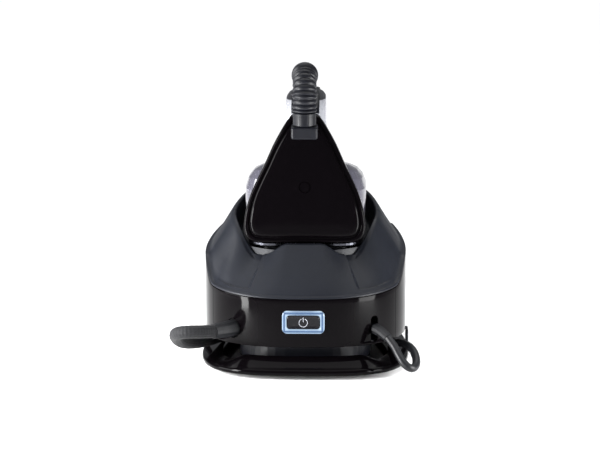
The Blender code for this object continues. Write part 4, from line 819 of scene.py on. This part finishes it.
def cradle():
    """Ring round the recess: each loop lies a share of the way from the body
    outline to the recess outline, at its own height above the seam plane."""
    angles = round_angles(432)
    ox, oy = body_plan(0.0, angles)
    ix, iy = recess_plan(0.0, angles)
    crest = crest_share(ox, oy)
    wide = np.abs(ox) / BODY_HALF
    full = np.where(oy > WIDEST, 1.0, smooth_step(CREASE_SHARE, 1.0, wide))
    edge = shoulder(oy)
    lobe = (smooth_step(CREASE_SHARE, CREASE_SHARE + 0.025, wide)
            * (1.0 - smooth_step(0.70, 0.97, wide)) * (oy < WIDEST))

    def ring(share, rise, drop=0.0):
        x, y = ox + (ix - ox) * share, oy + (iy - oy) * share
        straight = CREST_RISE * min(share / 0.85, 1.0) ** 0.9
        height = np.full_like(x, rise)
        if 0.05 < share < 0.9:
            height = straight + (rise - straight) * full
        if share > 0.05:
            height = height * crest
        height = edge + height * (1.0 - edge / CREST_RISE)
        scoop = SCOOP * smooth_step(0.13, 0.20, share) * (1.0 - smooth_step(0.86, 0.99, share))
        return stack(x, y, seam_z(y) + height - drop - scoop * lobe)

    table = ((0.0, 0.0014), (0.012, 0.0020), (0.035, 0.0025), (0.10, 0.0036), (0.18, 0.0072),
             (0.30, 0.0160), (0.48, 0.0288), (0.66, 0.0425), (0.83, 0.0550), (0.93, CREST_RISE),
             (0.98, 0.0578), (1.0, 0.0560))
    profile = curve_through(table, 10)
    rx, ry = recess_plan(0.010, angles)
    ux, uy = recess_plan(-0.003, angles)
    bx, by = body_plan(0.003, angles)
    loops = [stack(rx, ry, seam_z(ry) + FLOOR_RISE - 0.003),
             stack(ux, uy, seam_z(uy) + FLOOR_RISE - 0.003),
             ring(0.62, 0.0390, 0.0045), ring(0.22, 0.0100, 0.0045),
             stack(bx, by, seam_z(by) + edge + 0.002), stack(bx, by, seam_z(by) + edge + 0.0002),
             stack(ox, oy, seam_z(oy) + edge + 0.0001)]
    loops += [ring(share, rise) for share, rise in profile]
    for inset, rise in ((0.0008, FLOOR_RISE + 0.0030), (0.0020, FLOOR_RISE + 0.0015),
                        (0.0032, FLOOR_RISE + 0.0004), (0.0046, FLOOR_RISE),
                        (0.0120, FLOOR_RISE)):
        fx, fy = recess_plan(inset, angles)
        loops.append(stack(fx, fy, seam_z(fy) + rise))
    made = surface("cradle", loops, SLATE, smooth=60.0)
    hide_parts("cradle_top")
    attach(made, "station")


# ------------------------------------------------------------- casing panels
def walled(name, low_angle, high_angle, count, high, thick=0.003, radius=0.0007):
    """Upright strip of the casing's outline.  Its section is a thin upright bar
    with round outer corners, whose top lies at the height that high gives."""
    angles = np.linspace(low_angle, high_angle, count)
    ox, oy = body_plan(0.0, angles)
    ix, iy = body_plan(thick, angles)
    corner = np.linspace(0.0, PI / 2, 4)
    drawn_in = radius * (1.0 - np.sin(corner))
    drawn_up = radius * (1.0 - np.cos(corner))
    # each row: distance in from the outline, share of the height, distance above that
    rows = [(inset, 0.0, rise) for inset, rise in zip(drawn_in, drawn_up)]
    rows += [(0.0, share, 0.0) for share in np.linspace(0.1, 0.9, 9)]
    rows += [(inset, 1.0, -rise) for inset, rise in zip(drawn_in[::-1], drawn_up[::-1])]
    rows += [(thick, 1.0, 0.0), (thick, 0.0, 0.0)]
    tall = high(oy) - BODY_BOTTOM
    grid = np.stack([stack(ox + (ix - ox) * inset / thick, oy + (iy - oy) * inset / thick,
                           BODY_BOTTOM + tall * share + rise)
                     for inset, share, rise in rows])
    return surface(name, np.swapaxes(grid, 0, 1), GLOSS, smooth=40.0)


def outlet(x):
    """Point and outward normal of the rear panel at a given x."""
    share = abs(x) / BODY_HALF
    depth = WIDEST - BODY_REAR
    bend = BASE_SHAPE[0]
    y = WIDEST - depth * (1.0 - share ** bend) ** (1.0 / bend)
    normal = np.array([math.copysign(share ** (bend - 1.0) / BODY_HALF, x),
                       -((WIDEST - y) / depth) ** (bend - 1.0) / depth, 0.0])
    return np.array([x, y, BODY_BOTTOM + 0.015]), normal / np.linalg.norm(normal)


def rounded_outline(half_width, half_height, radius, per_corner=10):
    """Rectangle with round corners, anticlockwise, in its own plane."""
    turn = np.linspace(0.0, PI / 2, per_corner + 1)
    parts = []
    for sx, sy, start in ((1, 1, 0.0), (-1, 1, PI / 2), (-1, -1, PI), (1, -1, 1.5 * PI)):
        parts.append(np.stack([sx * (half_width - radius) + radius * np.cos(turn + start),
                               sy * (half_height - radius) + radius * np.sin(turn + start)],
                              axis=1))
    return np.vstack(parts)


def rear_panel():
    """Curved gloss panel with its openings for button, hose and lead."""
    edge = math.acos(PANEL_SHARE ** (BASE_SHAPE[0] / 2)) + GAP / BODY_HALF
    panel = walled("rear_cover", -PI + edge, -edge, 161, lambda y: seam_z(y) - GAP)
    ring = rounded_outline(RING_HALF_WIDTH + GAP, RING_HALF_HEIGHT + GAP, 0.005)
    tool = surface("tool", [stack(ring[:, 0], y, BUTTON_Z + ring[:, 1])
                            for y in (BODY_REAR - 0.01, BODY_REAR + 0.015)], GLOSS)
    cut(panel, tool)
    place, normal = outlet(HOSE_OUTLET_X)
    cut(panel, round_tool(place + normal * 0.015, place - normal * 0.015, HOSE_OUTLET_RADIUS))
    place, normal = outlet(CORD_OUTLET_X)
    side = np.array([-normal[1], normal[0], 0.0])
    slot = rounded_outline(0.0045, 0.0130, 0.0043)
    cut(panel, surface("tool", [place + normal * s + slot[:, :1] * side
                                + slot[:, 1:] * np.array([0.0, 0.0, 1.0])
                                for s in (0.015, -0.015)], GLOSS))
    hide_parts("rear_panel")
    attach(panel, "station")


def side_panels():
    """Side walls from the rear panel to the tank, mirror images."""
    start = -math.acos(PANEL_SHARE ** (BASE_SHAPE[0] / 2)) + GAP / BODY_HALF
    share = (TANK_BACK - WIDEST) / (BODY_NOSE - WIDEST)
    end = math.asin(share ** (1.0 / BASE_SHAPE[2])) - 2 * GAP / BODY_HALF
    for name, low, high in (("left", PI - end, PI - start), ("right", start, end)):
        shell = walled("side_cover_" + name, low, high, 121,
                       lambda y: seam_z(y) + shoulder(y) - GAP)
        if name == "right":
            z = (BODY_BOTTOM + seam_z(0.015)) / 2
            cut(shell, round_tool((0.070, 0.015, z), (0.112, 0.015, z), 0.0153))
        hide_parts("side_shell_" + name)
        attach(shell, "station")


def tray():
    """Flared tray: an upright edge, a sloping lip that is higher at the rear,
    and a groove floor inside it."""
    angles = round_angles(288)
    bx, by = body_plan(0.0, angles)
    rear = 1.0 - smooth_step(0.55, 0.85, np.abs(bx) / BODY_HALF)
    side_lip, rear_lip = 0.0125, 0.0205
    lip = side_lip + (rear_lip - side_lip) * np.where(by < WIDEST, rear, 0.0)

    def at(inset, z):
        x, y = tray_plan(inset, angles)
        return stack(x, y, z)

    def on_lip(inset, share):
        return at(inset, 0.0095 + (lip - 0.0095) * share)

    loops = [at(0.0040, 0.004), at(0.0016, 0.0042), at(0.0006, 0.0049), at(0.0001, 0.0060),
             at(0.0, 0.0072), at(0.0002, 0.0083), at(0.0007, 0.0091)]
    table = ((0.0014, 0.05), (0.0040, 0.20), (0.0075, 0.46), (0.0105, 0.70), (0.0135, 0.88),
             (0.0160, 0.98), (0.0172, 1.0), (0.0184, 0.985), (0.0192, 0.93))
    loops += [on_lip(inset, share) for inset, share in curve_through(table, 3)]
    loops += [at(0.0199, 0.0100), at(0.0205, 0.0085), at(0.0260, 0.0085)]
    made = surface("tray", loops, GLOSS, smooth=50.0)
    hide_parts("base_tray")
    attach(made, "station")


# --------------------------------------------------------------- the iron
HEEL_OUTLINE = ((0.000, 0.0048), (0.610, 0.0048), (0.875, 0.0068), (0.976, 0.0155),
                (0.972, 0.0290), (0.900, 0.0470), (0.780, 0.0640), (0.643, 0.0810),
                (0.514, 0.0980), (0.387, 0.1120), (0.275, 0.1225), (0.175, 0.1275))


def heel():
    """Rear cover: one outline scaled about its middle, ring after ring, on the
    raked face, so that a rim and a raised inner panel stand out."""
    right = np.array(HEEL_OUTLINE) * (IRON_HALF, 1.0)
    left = right[:0:-1] * (-1.0, 1.0)
    outline = curve_through(np.vstack([right, left]), 14, closed=True)

    def loop(scale, depth, waist=0.058):
        z = waist + (outline[:, 1] - waist) * scale
        return in_iron(stack(outline[:, 0] * scale, HEEL_RAKE * z + depth, z))

    table = ((0.990, 0.0100), (0.997, 0.0096), (1.000, 0.0088), (1.000, 0.0034),
             (0.997, 0.0022), (0.990, 0.0011), (0.978, 0.0003), (0.962, 0.0),
             (0.934, 0.0001), (0.926, 0.0005), (0.921, 0.0013), (0.914, 0.0014),
             (0.903, 0.0013), (0.896, 0.0002), (0.884, -0.0008), (0.868, -0.0014),
             (0.845, -0.0018), (0.815, -0.0020), (0.60, -0.0022), (0.30, -0.0023),
             (0.08, -0.0023))
    cover = surface("heel_panel", [loop(s, d) for s, d in table], GLOSS, smooth=50.0)
    z = 0.0586
    lean = np.array((0.0, -1.0, HEEL_RAKE)) / math.hypot(1.0, HEEL_RAKE)
    middle = np.array((0.0, HEEL_RAKE * z, z))
    cut(cover, tilted(round_tool(middle + lean * 0.008, middle - lean * 0.0025, 0.0057)))
    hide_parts("heel_cover")
    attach(cover, "iron")


def hose_relief():
    """Bent relief on the heel: a round section whose radius rises and falls
    with the length run, one rib wider than the rest and a thick far end."""
    start = np.array((0.0, 0.0102, 0.1340))
    steps = np.array(((0.0, 0.0, 0.0), (0.0, 0.0005, 0.0125), (0.0, 0.0030, 0.0215),
                      (0.0, 0.0085, 0.0285), (0.0, 0.0165, 0.0318), (0.0, 0.0260, 0.0328)))
    path, _ = even_path(curve_through(start + steps, 12), 0.0003)
    share = np.linspace(0.0, 1.0, len(path))
    wave = np.abs(np.sin(PI * 10.0 * share / 0.80 + 0.5 * np.sin(19.0 * share)))
    radii = 0.0103 - 0.0006 * share + 0.0017 * wave ** 0.7
    radii += 0.0014 * np.exp(-((share - 0.34) / 0.022) ** 2)
    thick = smooth_step(0.80, 0.86, share)
    rounded = 0.0130 - 0.0030 * smooth_step(0.90, 1.0, share)
    radii = radii * (1.0 - thick) + rounded * thick
    piece = tube("hose_relief_ribbed", in_iron(path), radii, RELIEF, sides=40)
    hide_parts("hose_relief")
    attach(piece, "iron")


def main():
    camera_and_lights()
    steam_hose()
    mains_cord()
    studio_floor()
    keep_nodes()
    cradle()
    rear_panel()
    side_panels()
    tray()
    heel()
    hose_relief()


main()
